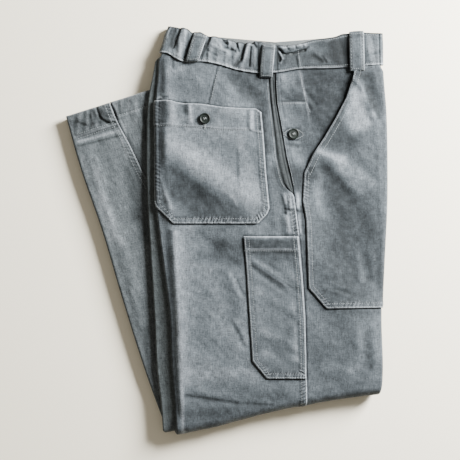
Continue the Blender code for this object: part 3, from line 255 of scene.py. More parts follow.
# Deep pleats and puffs of the waistband, where it lies: ends, width, height.
PLEATS = np.array((
    (-67.1, 291.2, -77.3, 263.1, 2, -2.6), (-58, 285.8, -69.6, 251, 5.5, 1.8),
    (-76.5, 288.7, -80.6, 264.1, 4.6, -1.1), (-48.8, 283.4, -58, 258.3, 1.9, -2.6),
    (-58, 258.3, -60.3, 245.2, 1.8, -1.8), (-24.2, 277.6, -29, 268, 1.9, -2.4),
    (-29, 268, -37, 260.6, 1.9, -2.6), (-37, 260.6, -40, 249.6, 1.9, -2), (-17.4, 272.8, -29, 251, 6, 1.3),
    (-20.3, 265.5, 0, 256.8, 2.6, 1.3), (-4.8, 273.8, 1.5, 267, 1.8, -1.5), (-2.9, 263.1, 13.1, 257.7, 2, -1.5),
    (-27.5, 257.5, -14.5, 250.3, 1.8, -1), (-14.5, 271.3, -5.8, 262.6, 2, 0.8),
    (2.9, 252.5, -14.5, 246.7, 3.2, 0.9), (4.4, 269.9, 10.2, 262.6, 2.2, 1),
    (14.5, 271.8, 17.9, 258.3, 1.6, -2.2), (27.1, 270.6, 20.6, 246.7, 2, -3.2),
    (20.6, 246.7, 11.9, 236.5, 2.6, -2.4), (32.5, 268.4, 25.4, 243.8, 2.6, 1.7),
    (35.5, 264.1, 33.4, 236.5, 1.3, -1.4), (37.7, 270.6, 43.5, 262.6, 1.5, -1.8),
    (40.6, 269.9, 46.4, 269.1, 1.3, 1.2), (41.3, 258.3, 39.9, 238, 2.4, 1), (46.7, 267, 47.3, 229.3, 1.7, -2.2),
    (18.1, 265.5, 14.5, 249.6, 2.4, 1), (7.3, 249.6, 0, 240.9, 2, -0.8),
    (-43.5, 248.8, -37.7, 247.4, 1.5, -0.6), (74, 263.3, 83.5, 253.9, 1.9, -2.6),
    (83.5, 253.9, 94.3, 254.5, 1.9, -2.6), (94.3, 254.5, 113.1, 259.7, 1.9, -2.4),
    (113.1, 259.7, 118.9, 264.8, 1.7, -1.6), (81.2, 262.6, 114.6, 266.2, 2.8, 1.8),
    (76.9, 258.3, 81.9, 247.4, 1.5, 1.2), (81.9, 247.4, 78.3, 240.9, 1.5, 1),
    (74.7, 255.4, 77.6, 243.8, 1.6, -1.2), (87, 267, 89.9, 261.2, 1.3, -1.2),
    (98.6, 268.4, 101.5, 262.6, 1.3, -1.1), (108.8, 269.9, 111.7, 264.1, 1.3, -1),
    (105.1, 248.1, 107.3, 236.5, 2.2, 0.5), (101.5, 249.6, 103.5, 236.5, 1.8, -0.4),
    (89.9, 243.8, 165.3, 246.7, 8, 0.6), (126.2, 251, 137.8, 243.8, 3.2, -0.6),
    (130.5, 255.4, 145, 245.2, 3.6, 0.6), (139.2, 251, 145, 242.3, 1.7, -0.8),
    (121.8, 267, 139.2, 271.3, 3, -0.9), (139.2, 269.9, 156.6, 274.2, 3, 0.7),
    (165.3, 272.8, 172.6, 243.8, 5, -0.9), (203, 269.9, 211.7, 238, 3, 0.6),
    (211.7, 278.6, 217.5, 240.9, 2.6, -0.6), (203, 258.3, 223.3, 264.1, 2.4, 0.6),
    (203, 246.7, 223.3, 251, 2, -0.6)))

# Crests and grooves of the waistband, pale with wear and painted highlight on the crests and dark with painted
# shade in the grooves: ends, width, paleness.
BAND_WEAR_AND_SHADE_MARKS = np.array((
    (-76.5, 288.7, -80.6, 265.5, 4.6, -0.85), (-83.2, 294.5, -69.6, 292.5, 1.4, 0.5),
    (-84.1, 288.7, -91.3, 267, 1.5, 0.5), (-67.1, 291.2, -77.3, 263.1, 1.7, -0.9),
    (-59.4, 284.4, -69.6, 252.5, 5, 0.5), (-48.8, 283.4, -58, 258.3, 1.7, -0.95),
    (-58, 258.3, -60.6, 243.8, 2.2, -0.9), (-24.2, 277.6, -29, 268, 1.6, -0.9),
    (-29, 268, -37, 260.6, 1.7, -0.95), (-37, 260.6, -40.3, 246.7, 1.7, -0.95), (-13, 267, 4.4, 255.4, 6, 0.4),
    (-4.8, 273.8, 1.5, 267, 1.5, -0.6), (-2.9, 263.1, 13.1, 257.7, 1.7, -0.6),
    (-31.9, 245.2, 8.7, 235.1, 2.6, 0.5), (14.5, 271.8, 17.9, 258.3, 1.5, -0.8),
    (27.1, 270.6, 20.6, 246.7, 1.7, -1), (20.6, 246.7, 11.6, 235.8, 2.8, -0.95),
    (31.9, 267, 24.7, 242.3, 1.8, 0.6), (35.5, 264.1, 33.4, 236.5, 1.3, -0.5),
    (37.7, 270.6, 43.5, 262.6, 1.5, -0.8), (39.2, 272, 46.4, 271, 1.2, 0.7),
    (46.7, 267, 47.3, 227.8, 1.7, -0.9), (29, 243.8, 40.6, 238, 4, -0.35), (17.4, 261.2, 13.1, 249.6, 1.8, 0.4),
    (-72.5, 269.9, -60.9, 246.7, 3.5, -0.2), (84.1, 246.7, 172.6, 249.6, 12, -0.85),
    (-21.4, 280, -28.7, 265.5, 1.7, -1), (-28.7, 265.5, -34.5, 251, 1.7, -1),
    (-34.5, 251, -35.4, 243.8, 1.6, -0.8), (-58, 268.4, 34.8, 243.8, 13, -0.35), (74, 267, 74, 232.2, 2, -0.7),
    (74, 263.3, 83.5, 253.9, 1.7, -0.95), (83.5, 253.9, 94.3, 254.5, 1.7, -0.95),
    (94.3, 254.5, 113.1, 259.7, 1.7, -0.9), (113.1, 259.7, 118.9, 264.8, 1.6, -0.7),
    (82.7, 264.8, 114.6, 268.1, 1.6, 0.35), (77.7, 258.3, 81.9, 247.4, 1.2, 0.8),
    (81.9, 247.4, 78.8, 240.9, 1.2, 0.7), (75.1, 255.4, 78.3, 243.8, 1.6, -0.6),
    (105.1, 249.6, 107.8, 233.6, 1.4, 0.6), (102, 251, 103.8, 235.1, 1.3, -0.5),
    (92.8, 245.2, 150.8, 243.8, 6, 0.15), (133.4, 267, 171.1, 272.8, 7, -0.4),
    (156.6, 269.9, 171.1, 243.8, 11, -0.8), (174, 281.5, 175.5, 235.1, 3.2, -0.9),
    (124.7, 252.5, 139.2, 243.8, 2.6, -0.35), (139.2, 251, 145, 242.3, 1.5, -0.4),
    (201.9, 281.5, 202.4, 232.2, 1.6, -0.6), (205.9, 269.9, 223.3, 243.8, 8, 0.3),
    (204.5, 252.5, 223.3, 256.8, 1.6, -0.3)))

# Belt loops: name, x and y of the top, x and y of the foot, width, height of what lies beneath the foot.
LOOPS = (
    ("belt_loop_back", -37.1, 282.0, -49.4, 241.4, 19.0, 0.0),
    ("belt_loop_side", 61.7, 268.0, 57.4, 219.7, 18.6, 0.0),
    ("belt_loop_front", 188.8, 287.6, 190.0, 229.0, 21.4, POCKET_LIFT))
LOOP_CLEAR = (13.5, 18.5)
LOOP_STEP = (BAND_FOOT - 7.0, BAND_FOOT + 0.5)
LOOP_PLAY = 0.35

# Fall of the stack towards its left and right edges: y, width of the fall on the left.
EDGE_FALL = np.array(((-290.0, 5.0), (-133.0, 8.0), (3.0, 17.0), (100.0, 15.0), (180.0, 12.0), (245.0, 8.0)))
LEFT_FALL = 2.3
RIGHT_FALL = 1.0

# Side seam of the lower leg: distance from the hem, distance from the left edge.
LEG_SEAM = np.array(((0.0, 67.0), (30.0, 70.5), (71.0, 79.0), (110.0, 84.0), (147.0, 90.5), (200.0, 103.0)))

# Folds of the lower leg, where it lies: ends, width, height.
LEG_FOLDS = np.array((
    (-189.9, 178.5, -184.1, 161.1, 2, -1.7), (-184.1, 161.1, -172.5, 153.1, 2, -1.8),
    (-172.5, 153.1, -162.4, 154.6, 2, -1.5), (-179.8, 174.2, -171.1, 162.6, 4.5, 1.3),
    (-229.1, 157.5, -203, 149.5, 1.5, -1), (-223.3, 162.6, -200.1, 156, 3.6, 1),
    (-214.6, 140.8, -195.7, 152.4, 2.2, -0.9), (-204.4, 137.9, -189.9, 149.5, 2.4, 0.8),
    (-195.7, 165.5, -189.9, 148.1, 2.8, 0.9), (-205.9, 110.4, -169.6, 20.5, 11, 0.9),
    (-172.5, 20.5, -139.2, -89.7, 11, 0.8), (-150.8, 90.1, -127.6, 10.3, 9, -0.9),
    (-175.4, 59.6, -159.5, 10.3, 5.5, -0.6), (-150.8, -20.1, -127.6, -89.7, 6.5, 0.7),
    (-139.2, -89.7, -111.6, -189.8, 6.5, 0.7), (-189.9, 100.2, -175.4, 65.4, 3.6, 0.5),
    (-137, 187.9, -123.2, 149.5, 4.2, 0.8), (-145, 174.2, -137.7, 156, 2.6, -0.7),
    (-165.3, 184.3, -156.6, 162.6, 2, 0.9), (-168.2, 180, -160.9, 162.6, 1.5, -1)))
# Patches of the lower leg, where it lies, partly faded and partly painted light: painted shade beside the upper
# stack and in the hem's crumples, painted highlights on their crests. Columns: ends, width, paleness.
LEG_FADE_AND_SHADE_PATCHES = np.array((
    (-197.2, 145.2, -124.7, -144.8, 40, -0.16), (-218.9, 171.3, -146.4, 182.9, 14, -0.15),
    (-203, 185.8, -194.3, 168.4, 2, -0.9), (-194.3, 168.4, -182.7, 155.3, 1.8, -0.95),
    (-182.7, 155.3, -165.3, 154.6, 2, -0.9), (-165.3, 154.6, -153.7, 161.1, 1.6, -0.6),
    (-187, 178.5, -178.3, 162.6, 3.6, 0.4), (-176.9, 161.1, -163.8, 158.9, 2.2, 0.4),
    (-229.1, 156.8, -203, 148.1, 1.3, -0.6), (-226.2, 161.1, -200.1, 153.9, 1.6, 0.4),
    (-217.5, 135, -158, 149.5, 2.4, -0.7), (-214.6, 127, -153.7, 143, 2.2, 0.6),
    (-217.5, 119.8, -153.7, 135.7, 1.5, -0.55), (-226.2, 151, -159.5, 169.8, 10, -0.65),
    (-232, 162.6, -205.9, 180, 4, -0.35), (-153.7, 182.9, -114.5, 194.5, 6, -0.15),
    (-153.7, 164, -113.1, 178.5, 1.5, 0.35), (-165.3, 182.9, -145, 139.4, 1.4, 0.45),
    (-169.6, 181.4, -153.7, 145.2, 2.4, -0.55), (-155.1, 137.9, -143.5, 101.7, 1.5, 0.4),
    (-145, 139.4, -126.1, 95.9, 1.5, -0.5), (-200.1, 104.6, -153.7, -14.3, 12, 0.22),
    (-130.5, 116.2, -120.3, -14.3, 8, -0.35), (-159.5, -28.8, -124.7, -144.8, 9, -0.2),
    (-182.7, 43.7, -142.1, -101.3, 9, 0.15), (-142.1, 87.2, -133.4, 14.7, 6, -0.2),
    (-129, 81.4, -124.7, 77, 1.8, -0.9), (-182.7, 130.7, -165.3, 87.2, 5, -0.15),
    (-203, 116.2, -194.3, 72.7, 5, -0.2), (-116, -144.8, -110.2, -246.3, 5, -0.4),
    (-124.7, 182.9, -114.5, 130.7, 5, -0.35)))


# Curves through the tables.

def smooth(t):
    """Ease from 0 to 1: three squares less two cubes of the clipped value."""
    t = clamp(t)
    return t * t * (3.0 - 2.0 * t)


def clamp(t):
    """The value held between 0 and 1."""
    return np.clip(t, 0.0, 1.0)


def bell(t):
    """Bell curve: e to the minus square of the value."""
    return np.exp(-t ** 2)


def through(table, column, place):
    """Cubic Hermite curve through one column of a table, straight beyond its ends."""
    at, value = table[:, 0], table[:, column]
    slope = np.gradient(value, at)
    place = np.asarray(place, float)
    i = np.clip(np.searchsorted(at, place) - 1, 0, len(at) - 2)
    step = at[i + 1] - at[i]
    t = clamp((place - at[i]) / step)
    curve = ((1 + 2 * t) * (1 - t) ** 2 * value[i] + t * (1 - t) ** 2 * step * slope[i]
             + t * t * (3 - 2 * t) * value[i + 1] - t * t * (1 - t) * step * slope[i + 1])
    return curve + np.minimum(place - at[0], 0.0) * slope[0] + np.maximum(place - at[-1], 0.0) * slope[-1]


def nearest(x, y, start, end):
    """Share of the way along a straight line of the spot nearest to each point, and the distance to it."""
    run_x, run_y = end[0] - start[0], end[1] - start[1]
    x, y = x - start[0], y - start[1]
    t = clamp((x * run_x + y * run_y) / (run_x ** 2 + run_y ** 2))
    return t, np.hypot(x - t * run_x, y - t * run_y)


def ridges(table, x, y):
    """Sum over the rows of height times the bell curve of the distance to the row's line over its width."""
    height = np.zeros(np.broadcast(x, y).shape)
    for row in table:
        height = height + row[5] * bell(nearest(x, y, row[:2], row[2:4])[1] / row[4])
    return height


def sway(x, y):
    """Slight unevenness of the cloth: sums and products of slanted sine waves 20 to 150 mm long."""
    return (0.20 * np.sin(x / 9.1 + y / 17.3 + 0.4) * np.sin(y / 11.7 - x / 23.0 + 1.1)
            + 0.16 * np.sin(x / 5.3 - y / 7.9 + 2.0 * np.sin(y / 31.0))
            + 0.10 * np.sin(x / 3.7 + y / 3.1 + 2.0 * np.sin(x / 19.0 + 1.0)) * np.sin(y / 13.0 + 2.0))


# The upper stack, from plan to place, with the same sizes as the solids.

def under_band(y):
    """1 under the waistband, 0 below it."""
    return smooth((y - BAND_TUCK[0]) / (BAND_TUCK[1] - BAND_TUCK[0]))


def edges(y):
    """Left edge, right edge and thickness of the upper stack's panels."""
    inset = BAND_INSET * under_band(y)
    return through(SECTIONS, 1, y) + inset, through(SECTIONS, 2, y) - inset, through(SECTIONS, 4, y)


def past_fold(x, y):
    """Distance past the line where the cloth starts to turn under at the knee."""
    along = (x - FOLD_LEFT[0]) * math.sin(FOLD_TILT) - (y - FOLD_LEFT[1]) * math.cos(FOLD_TILT)
    return along + BEND_ROUND * BEND_STACK + through(FOLD_DIP, 1, np.clip(x, -70.0, 221.0))


def fold_line(x):
    """y of the line where the cloth starts to turn under."""
    return past_fold(x, 0.0) / math.cos(FOLD_TILT)


FOLD_MIDDLE = float(fold_line(MIDDLE))


def row_line(row, x):
    """y along a row: level in the upper half, and turning to follow the knee fold."""
    return row + smooth((TILT_FROM - row) / (TILT_FROM - FOLD_MIDDLE)) * (fold_line(x) - FOLD_MIDDLE)


def bend_row(turn):
    """Row name of a turn of the bend, in degrees."""
    return FOLD_MIDDLE - math.radians(turn) * BEND_PITCH / math.cos(FOLD_TILT)


def over_legs(x, y):
    """Distance inside the outline of the turned-under legs, as a soft least of two side distances."""
    corners = LEG_ROWS[0, 1:3], LEG_ROWS[0, 3:5], LEG_ROWS[-1, 3:5]
    sides = []
    for a, b in zip(corners, corners[1:]):
        run = (b - a) / np.hypot(*(b - a))
        sides.append((x - a[0]) * run[1] - (y - a[1]) * run[0])
    return -DRAPE_CORNER * np.log(np.exp(-sides[0] / DRAPE_CORNER) + np.exp(-sides[1] / DRAPE_CORNER))


def underside(x, y):
    """Height of the upper stack's underside: on the lower legs, down to the surface beside them."""
    legs = smooth((over_legs(x, y) + DRAPE) / DRAPE)
    fold = smooth((past_fold(x, y) + FOLD_RISE) / FOLD_RISE)
    return BEND_HEIGHT * (1.0 - (1.0 - legs) * (1.0 - fold))


def wave(x, y):
    """Rise of the cloth in plan, greatest at the waist."""
    up = np.clip((y - BAND_FOOT) / BAND_DEPTH, 0.0, 1.2)
    fade = clamp((y - WAVE_FROM) / (BAND_FOOT - WAVE_FROM)) ** 3
    x = np.clip(x, -98.0, 226.0)
    return fade * ((1.0 - up) * through(WAIST_WAVE, 1, x) + up * through(WAIST_WAVE, 2, x))


def lowered(y):
    """Height of a folded feature once the cloth has sagged: up to 3.2 mm less between knee and waist."""
    return y - 3.2 * smooth((y + 230.0) / 200.0) * smooth((250.0 - y) / 60.0)


def flat_y(x, y):
    """Plan y of a point whose y is measured where it lies, by twelve steps of y less the wave."""
    plan = np.asarray(y, float)
    for _ in range(12):
        plan = y - wave(x, plan)
    return plan


def settle(x, y, n):
    """Place of a point n above the underside of the stack: lifted off it, and turned about the knee fold."""
    q = past_fold(x, y)
    turn = np.clip(q / BEND_PITCH, 0.0, math.pi)
    back = np.maximum(q - BEND_PITCH * math.pi, 0.0)
    reach = BEND_ROUND * n * np.sin(turn) - np.maximum(q, 0.0) - back
    up = np.cos(turn)
    z = np.where(q <= 0.0, underside(x, y) + n,
                 BEND_HEIGHT + n * up * np.where(up > 0.0, 1.0, BEND_HEIGHT / BEND_STACK))
    return np.stack((x + reach * math.sin(FOLD_TILT) + PLAN_SHIFT[0],
                     y + wave(x, y) - reach * math.cos(FOLD_TILT) + PLAN_SHIFT[1], z), -1)


def relief(x, y):
    """Folds, creases and unevenness that every ply of the upper stack shares."""
    lying = y + wave(x, y)
    return 1.1 * ridges(FOLDS, x, y) + ridges(CREASES, x, 2.0 * lying - lowered(lying)) + 1.2 * sway(x, lying)


def upper_cloth(x, y, lift):
    """Outer cloth of the upper leg: stack thickness plus lift plus relief, rolled under past each side."""
    left, right, stack = edges(y)
    radius = stack / 4.0
    over_left = np.maximum(left + radius - x, 0.0)
    over_right = np.maximum(x - right + radius, 0.0)
    over = over_left + over_right
    side = np.where(over_left > 0.0, -1.0, 1.0)
    centre = np.where(over_left > 0.0, left + radius, right - radius)
    turn = np.minimum(over / radius, math.pi)
    wrap = np.maximum(over - math.pi * radius, 0.0)
    rolled = centre + side * ((radius + lift) * np.sin(turn) - wrap)
    inner = smooth(np.minimum(x - left - radius, right - radius - x) / 14.0)
    fall = -LEFT_FALL * (1.0 - smooth((x - left - radius) / through(EDGE_FALL, 1, y)))
    fall = fall - RIGHT_FALL * (1.0 - smooth((right - radius - x) / 12.0))
    fall = fall * (1.0 - under_band(y)) * smooth(-past_fold(x, y) / 25.0)
    height = stack + lift + relief(x, y) * inner * (1.0 - under_band(y)) + fall
    n = np.where(over > 0.0, stack - radius + (radius + lift) * np.cos(turn) + fall, height)
    return settle(np.where(over > 0.0, rolled, x), y, n)


def fade_and_painted_light(x, y):
    """Paleness of the cloth: patches, partly faded and partly painted shade and highlight, and a painted highlight
    a little more on the crests of the folds than in the dips.
    """
    lying = y + wave(x, y)
    return ridges(FADE_AND_SHADE_PATCHES, x, 2.0 * lying - lowered(lying)) + 0.07 * np.clip(relief(x, y), -1.5, 1.5)


# Stitched edges.

def hem(away, run, width, rise, pucker, pitch):
    """Height, paleness and depth of a turned edge: a raised strip with a rounded rim, a groove at each of two
    rows of stitches, and between them slanting puckers, a sine of the run along the edge whose phase drifts.
    Paleness is the worn rim and the pucker tops, partly wear and partly painted highlight; depth is painted
    shade in the stitch grooves and the pucker troughs, and a painted shadow beside the strip."""
    strip = smooth((width + 2.2 - away) / 3.0)
    rim = -0.55 * clamp(1.0 - away / 1.1) ** 2
    rows = 0.6 * bell((away - 2.6) / 0.75) + bell((away - width + 1.6) / 0.8)
    ripple = np.sin(2.0 * math.pi * run / pitch + 1.7 * np.sin(run / 9.0) + 0.55 * away)
    ripple = ripple * (0.65 + 0.35 * np.sin(run / 13.0 + 1.0)) + 0.35 * np.sin(run / 1.9 + 2.0 * np.sin(run / 7.0))
    between = smooth((away - 0.6) / 1.5) * smooth((width + 3.0 - away) / 3.5)
    height = rise * strip + rim - 0.40 * rows + pucker * ripple * between
    pale = 0.95 * bell((away - 0.7) / 1.25) + 0.75 * pucker * clamp(ripple) * between
    deep = 0.45 * rows + 0.80 * pucker * clamp(-ripple) * between
    shadow = 0.45 * bell((away - width - 1.2) / 1.3)
    return height, pale, deep + shadow


FAR = 1e9               # farther than any edge


def to_outline(outline, x, y):
    """Distance to the nearest side of an outline, and the run along the outline to that spot."""
    best = np.full(np.broadcast(x, y).shape, FAR)
    run = np.zeros(best.shape)
    start = 0.0
    for a, b in zip(outline, np.roll(outline, -1, axis=0)):
        length = float(np.hypot(*(b - a)))
        if length < 0.01:
            continue
        t, away = nearest(x, y, a, b)
        run = np.where(away < best, start + t * length, run)
        best = np.minimum(best, away)
        start += length
    return best, run


def along(points, t):
    """Points at shares t of a line's length."""
    points = np.asarray(points, float)
    run = np.concatenate(([0.0], np.cumsum(np.hypot(*np.diff(points, axis=0).T))))
    return np.stack([np.interp(np.asarray(t) * run[-1], run, points[:, k]) for k in (0, 1)], -1)


def patch(left, right, foot, top, u, v):
    """Surface between four edge lines: the two blends across and along, less the blend of the corners."""
    l, r, f, t = along(left, v)[:, None], along(right, v)[:, None], along(foot, u)[None], along(top, u)[None]
    across, up = u[None, :, None], v[:, None, None]
    corners = ((1 - across) * (1 - up) * f[:, :1] + across * (1 - up) * f[:, -1:]
               + (1 - across) * up * t[:, :1] + across * up * t[:, -1:])
    return (1 - across) * l + across * r + (1 - up) * f + up * t - corners


# Meshes.

def grid_index(rows, columns, ring=False):
    """Vertex numbers of a grid; a ring repeats its first column at the end."""
    index = np.arange(rows * columns).reshape(rows, columns)
    return np.concatenate((index, index[:, :1]), axis=1) if ring else index


def grid_quads(index):
    """The four neighbours round each cell of a grid of vertex numbers."""
    return np.stack((index[:-1, :-1], index[1:, :-1], index[1:, 1:], index[:-1, 1:]), -1).reshape(-1, 4)


def add_mesh(name, place, faces, material):
    """Smooth object at the origin, from places in metres and their faces."""
    mesh = bpy.data.meshes.new(name)
    mesh.from_pydata(place.reshape(-1, 3).tolist(), [], faces)
    mesh.shade_smooth()
    mesh.materials.append(material)
    body = bpy.data.objects.new(name, mesh)
    bpy.context.scene.collection.objects.link(body)
    return body


def cloth_object(name, place, plan, tone, material, wall=CLOTH, ring=False, flip=False):
    """Quads between the neighbours of a grid of places in millimetres; ring joins its last column to its
    first and caps both ends. The plan goes into a UV map in metres and the tone into an attribute."""
    index = grid_index(*place.shape[:2], ring)
    quads = grid_quads(index)
    faces = (quads[:, ::-1] if flip else quads).tolist()
    if ring:
        faces += [index[0, :-1].tolist(), index[-1, :-1][::-1].tolist()]
    body = add_mesh(name, place * MM, faces, material)
    mesh = body.data
    corner = np.empty(len(mesh.loops), np.int32)
    mesh.loops.foreach_get("vertex_index", corner)
    uv = mesh.uv_layers.new(name="plan")
    uv.data.foreach_set("uv", (plan.reshape(-1, 2) * MM)[corner].astype(np.float32).ravel())
    attribute = mesh.attributes.new("tone", "FLOAT_VECTOR", "POINT")
    attribute.data.foreach_set("vector", tone.reshape(-1, 3).astype(np.float32).ravel())
    if wall:
        solid = body.modifiers.new("cloth", "SOLIDIFY")
        solid.thickness = wall * MM
        solid.offset = -1.0
    return body


def tones(pale, wear_and_highlight, deep):
    """Paleness (fading with painted shade and highlights), eased towards its limits by a hyperbolic tangent, worn
    edges with painted highlights, and depth, which is painted shade in grooves, recesses and shadows, side by side.
    """
    pale = 0.66 * np.tanh(1.5 * np.asarray(pale, float))
    return np.stack(np.broadcast_arrays(pale, clamp(wear_and_highlight), clamp(deep)), -1)


def finish_sheet(body, node):
    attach(body, "root")
    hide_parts(node)


STITCH_PITCH = 3.3
STITCH_LENGTH = 2.5
THREAD = 0.27           # radius


def stitching(name, rows):
    """Rows of stitches: each is a small capsule of five sides, whose line sags at both ends into the cloth.
    A row holds the places of the stitches' starts and ends and the direction out of the cloth there."""
    start = np.concatenate([row[0] for row in rows])
    end = np.concatenate([row[1] for row in rows])
    out = np.concatenate([row[2] for row in rows])
    out = out / np.linalg.norm(out, axis=1, keepdims=True)
    line = end - start
    side = np.cross(line, out)
    side = side / np.linalg.norm(side, axis=1, keepdims=True)
    t = np.array((0.0, 0.12, 0.5, 0.88, 1.0))
    radius = THREAD * np.array((0.05, 0.8, 1.1, 0.8, 0.05))
    rise = np.array((-0.10, 0.12, 0.26, 0.12, -0.10))
    around = 5
    turn = np.arange(around) * 2.0 * math.pi / around
    centre = start[:, None] + line[:, None] * t[None, :, None] + out[:, None] * rise[None, :, None]
    place = (centre[:, :, None] + (radius[:, None] * np.cos(turn))[None, :, :, None] * side[:, None, None]
             + (radius[:, None] * np.sin(turn))[None, :, :, None] * out[:, None, None])
    size = len(t) * around
    base = size * np.arange(len(start))[:, None]
    quads = grid_quads(grid_index(len(t), around, ring=True))
    faces = (quads[None] + base[:, :, None]).reshape(-1, 4).tolist()
    faces += (base + np.arange(around)[::-1]).tolist() + (base + size - around + np.arange(around)).tolist()
    body = add_mesh(name, place * MM, faces, THREAD_MATERIAL)
    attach(body, "root")
    return body


def stitch_row(line, surface, lift):
    """Starts, ends and outward directions of stitches laid end to end along a line on the plan."""
    line = np.asarray(line, float)
    length = float(np.hypot(*np.diff(line, axis=0).T).sum())
    count = max(int(length / STITCH_PITCH), 1)
    at = (np.arange(count) + 0.5) / count
    half = 0.5 * STITCH_LENGTH / length
    a, b, m = along(line, at - half), along(line, at + half), along(line, at)
    out = surface(m[:, 0], m[:, 1], lift + 0.6) - surface(m[:, 0], m[:, 1], lift)
    return surface(a[:, 0], a[:, 1], lift), surface(b[:, 0], b[:, 1], lift), out


def inset(line, away):
    """The line moved sideways to its left by a distance, corner by corner along the mean of both sides."""
    line = np.asarray(line, float)
    step = np.diff(line, axis=0)
    step = step / np.hypot(*step.T)[:, None]
    normal = np.stack((-step[:, 1], step[:, 0]), -1)
    corner = np.concatenate((normal[:1], normal[:-1] + normal[1:], normal[-1:]))
    share = np.concatenate(([1.0], 1.0 + (normal[:-1] * normal[1:]).sum(1), [1.0]))
    return line + away * corner / share[:, None]


# Materials.

def group_tree(name, inputs, outputs):
    """An empty shader node group with named sockets, and its two end nodes."""
    tree = bpy.data.node_groups.new(name, "ShaderNodeTree")
    for label, kind in inputs:
        tree.interface.new_socket(name=label, in_out="INPUT", socket_type=kind)
    for label, kind in outputs:
        tree.interface.new_socket(name=label, in_out="OUTPUT", socket_type=kind)
    return tree, tree.nodes.new("NodeGroupInput"), tree.nodes.new("NodeGroupOutput")


def math_node(tree, operation, one, two, clamped=False):
    """A math node whose two values are sockets or numbers."""
    node = tree.nodes.new("ShaderNodeMath")
    node.operation = operation
    node.use_clamp = clamped
    for socket, value in zip(node.inputs, (one, two)):
        if isinstance(value, float):
            socket.default_value = value
        else:
            tree.links.new(value, socket)
    return node.outputs[0]


def noise_node(tree, vector, scale, detail, rough=0.5, stretch=None):
    """A noise texture, its vector stretched first where asked."""
    if stretch is not None:
        mapping = tree.nodes.new("ShaderNodeMapping")
        mapping.inputs["Scale"].default_value = stretch
        tree.links.new(vector, mapping.inputs["Vector"])
        vector = mapping.outputs["Vector"]
    node = tree.nodes.new("ShaderNodeTexNoise")
    node.inputs["Scale"].default_value = scale
    node.inputs["Detail"].default_value = detail
    node.inputs["Roughness"].default_value = rough
    tree.links.new(vector, node.inputs["Vector"])
    return node.outputs["Fac"]


def mix_node(tree, factor, one, two, blend="MIX"):
    """A colour mix of sockets or colours."""
    node = tree.nodes.new("ShaderNodeMix")
    node.data_type = "RGBA"
    node.blend_type = blend
    for socket, value in ((node.inputs[0], factor), (node.inputs[6], one), (node.inputs[7], two)):
        if isinstance(value, (float, tuple)):
            socket.default_value = value
        else:
            tree.links.new(value, socket)
    return node.outputs[2]


def make_weave_group():
    """Washed denim: paleness, partly fading and partly painted light, picks between three colours, and heathered
    yarns, streaks along the warp, soft mottling, painted shading that follows the crinkle of the bump, and a
    fine twill vary it. Worn edges with painted highlights mix towards the pale colour, painted shade towards
    the deep one. Height is in millimetres."""
    tree, given, result = group_tree(
        "washed_denim",
        (("Vector", "NodeSocketVector"), ("Tone", "NodeSocketVector"), ("Deep", "NodeSocketColor"),
         ("Mid", "NodeSocketColor"), ("Pale", "NodeSocketColor"), ("Heather", "NodeSocketFloat")),
        (("Color", "NodeSocketColor"), ("Roughness", "NodeSocketFloat"), ("Height", "NodeSocketFloat")))
    vector = given.outputs["Vector"]
    split = tree.nodes.new("ShaderNodeSeparateXYZ")
    tree.links.new(given.outputs["Tone"], split.inputs[0])
    mottle = noise_node(tree, vector, 46.0, 4.0, 0.65)
    speckle = noise_node(tree, vector, 500.0, 3.0, 0.8)
    streak = noise_node(tree, vector, 1.0, 3.0, 0.6, (640.0, 90.0, 1.0))
    weft = noise_node(tree, vector, 1.0, 3.0, 0.6, (110.0, 560.0, 1.0))
    crinkle = noise_node(tree, vector, 120.0, 3.0, 0.6)
    twill = tree.nodes.new("ShaderNodeTexWave")
    twill.bands_direction = "DIAGONAL"
    twill.inputs["Scale"].default_value = 560.0
    twill.inputs["Distortion"].default_value = 0.6
    twill.inputs["Detail"].default_value = 1.0
    tree.links.new(vector, twill.inputs["Vector"])

    def times(one, two, clamped=False):
        """Product of two values."""
        return math_node(tree, "MULTIPLY", one, two, clamped)

    def less(one, two, clamped=False):
        """First value less the second."""
        return math_node(tree, "SUBTRACT", one, two, clamped)

    def plus(total, *values):
        """Sum of the values, one after the other."""
        for value in values:
            total = math_node(tree, "ADD", total, value)
        return total

    yarns = plus(times(streak, 0.8), times(weft, 0.5), times(speckle, 0.9))
    yarns = times(less(yarns, 1.1), given.outputs["Heather"])
    # The crinkle is painted darker in its dips and paler on its rises, as shading.
    soft, crinkle_shade = times(less(mottle, 0.5), 0.27), times(less(crinkle, 0.5), 0.38)
    fine = times(less(twill.outputs["Fac"], 0.5), 0.10)
    level = plus(times(split.outputs["X"], 0.72), 0.5, soft, crinkle_shade)
    to_mid, to_pale = times(level, 2.0, True), less(times(level, 2.0), 1.0, True)
    colour = mix_node(tree, to_mid, given.outputs["Deep"], given.outputs["Mid"])
    colour = mix_node(tree, to_pale, colour, given.outputs["Pale"])
    # Worn edges with painted highlights go towards the pale colour, then painted shade towards the deep one.
    wear_and_highlight = times(split.outputs["Y"], plus(speckle, 0.45), True)
    colour = mix_node(tree, times(wear_and_highlight, 0.9), colour, given.outputs["Pale"])
    colour = mix_node(tree, times(split.outputs["Z"], 0.92), colour, given.outputs["Deep"])
    colour = mix_node(tree, 1.0, colour, plus(times(plus(yarns, fine), 1.9), 1.0), "MULTIPLY")
    rough = plus(times(speckle, 0.12), 0.82)
    height = plus(times(crinkle, 0.55), times(twill.outputs["Fac"], 0.05), times(speckle, 0.07))
    tree.links.new(colour, result.inputs["Color"])
    tree.links.new(rough, result.inputs["Roughness"])
    tree.links.new(height, result.inputs["Height"])
    return tree


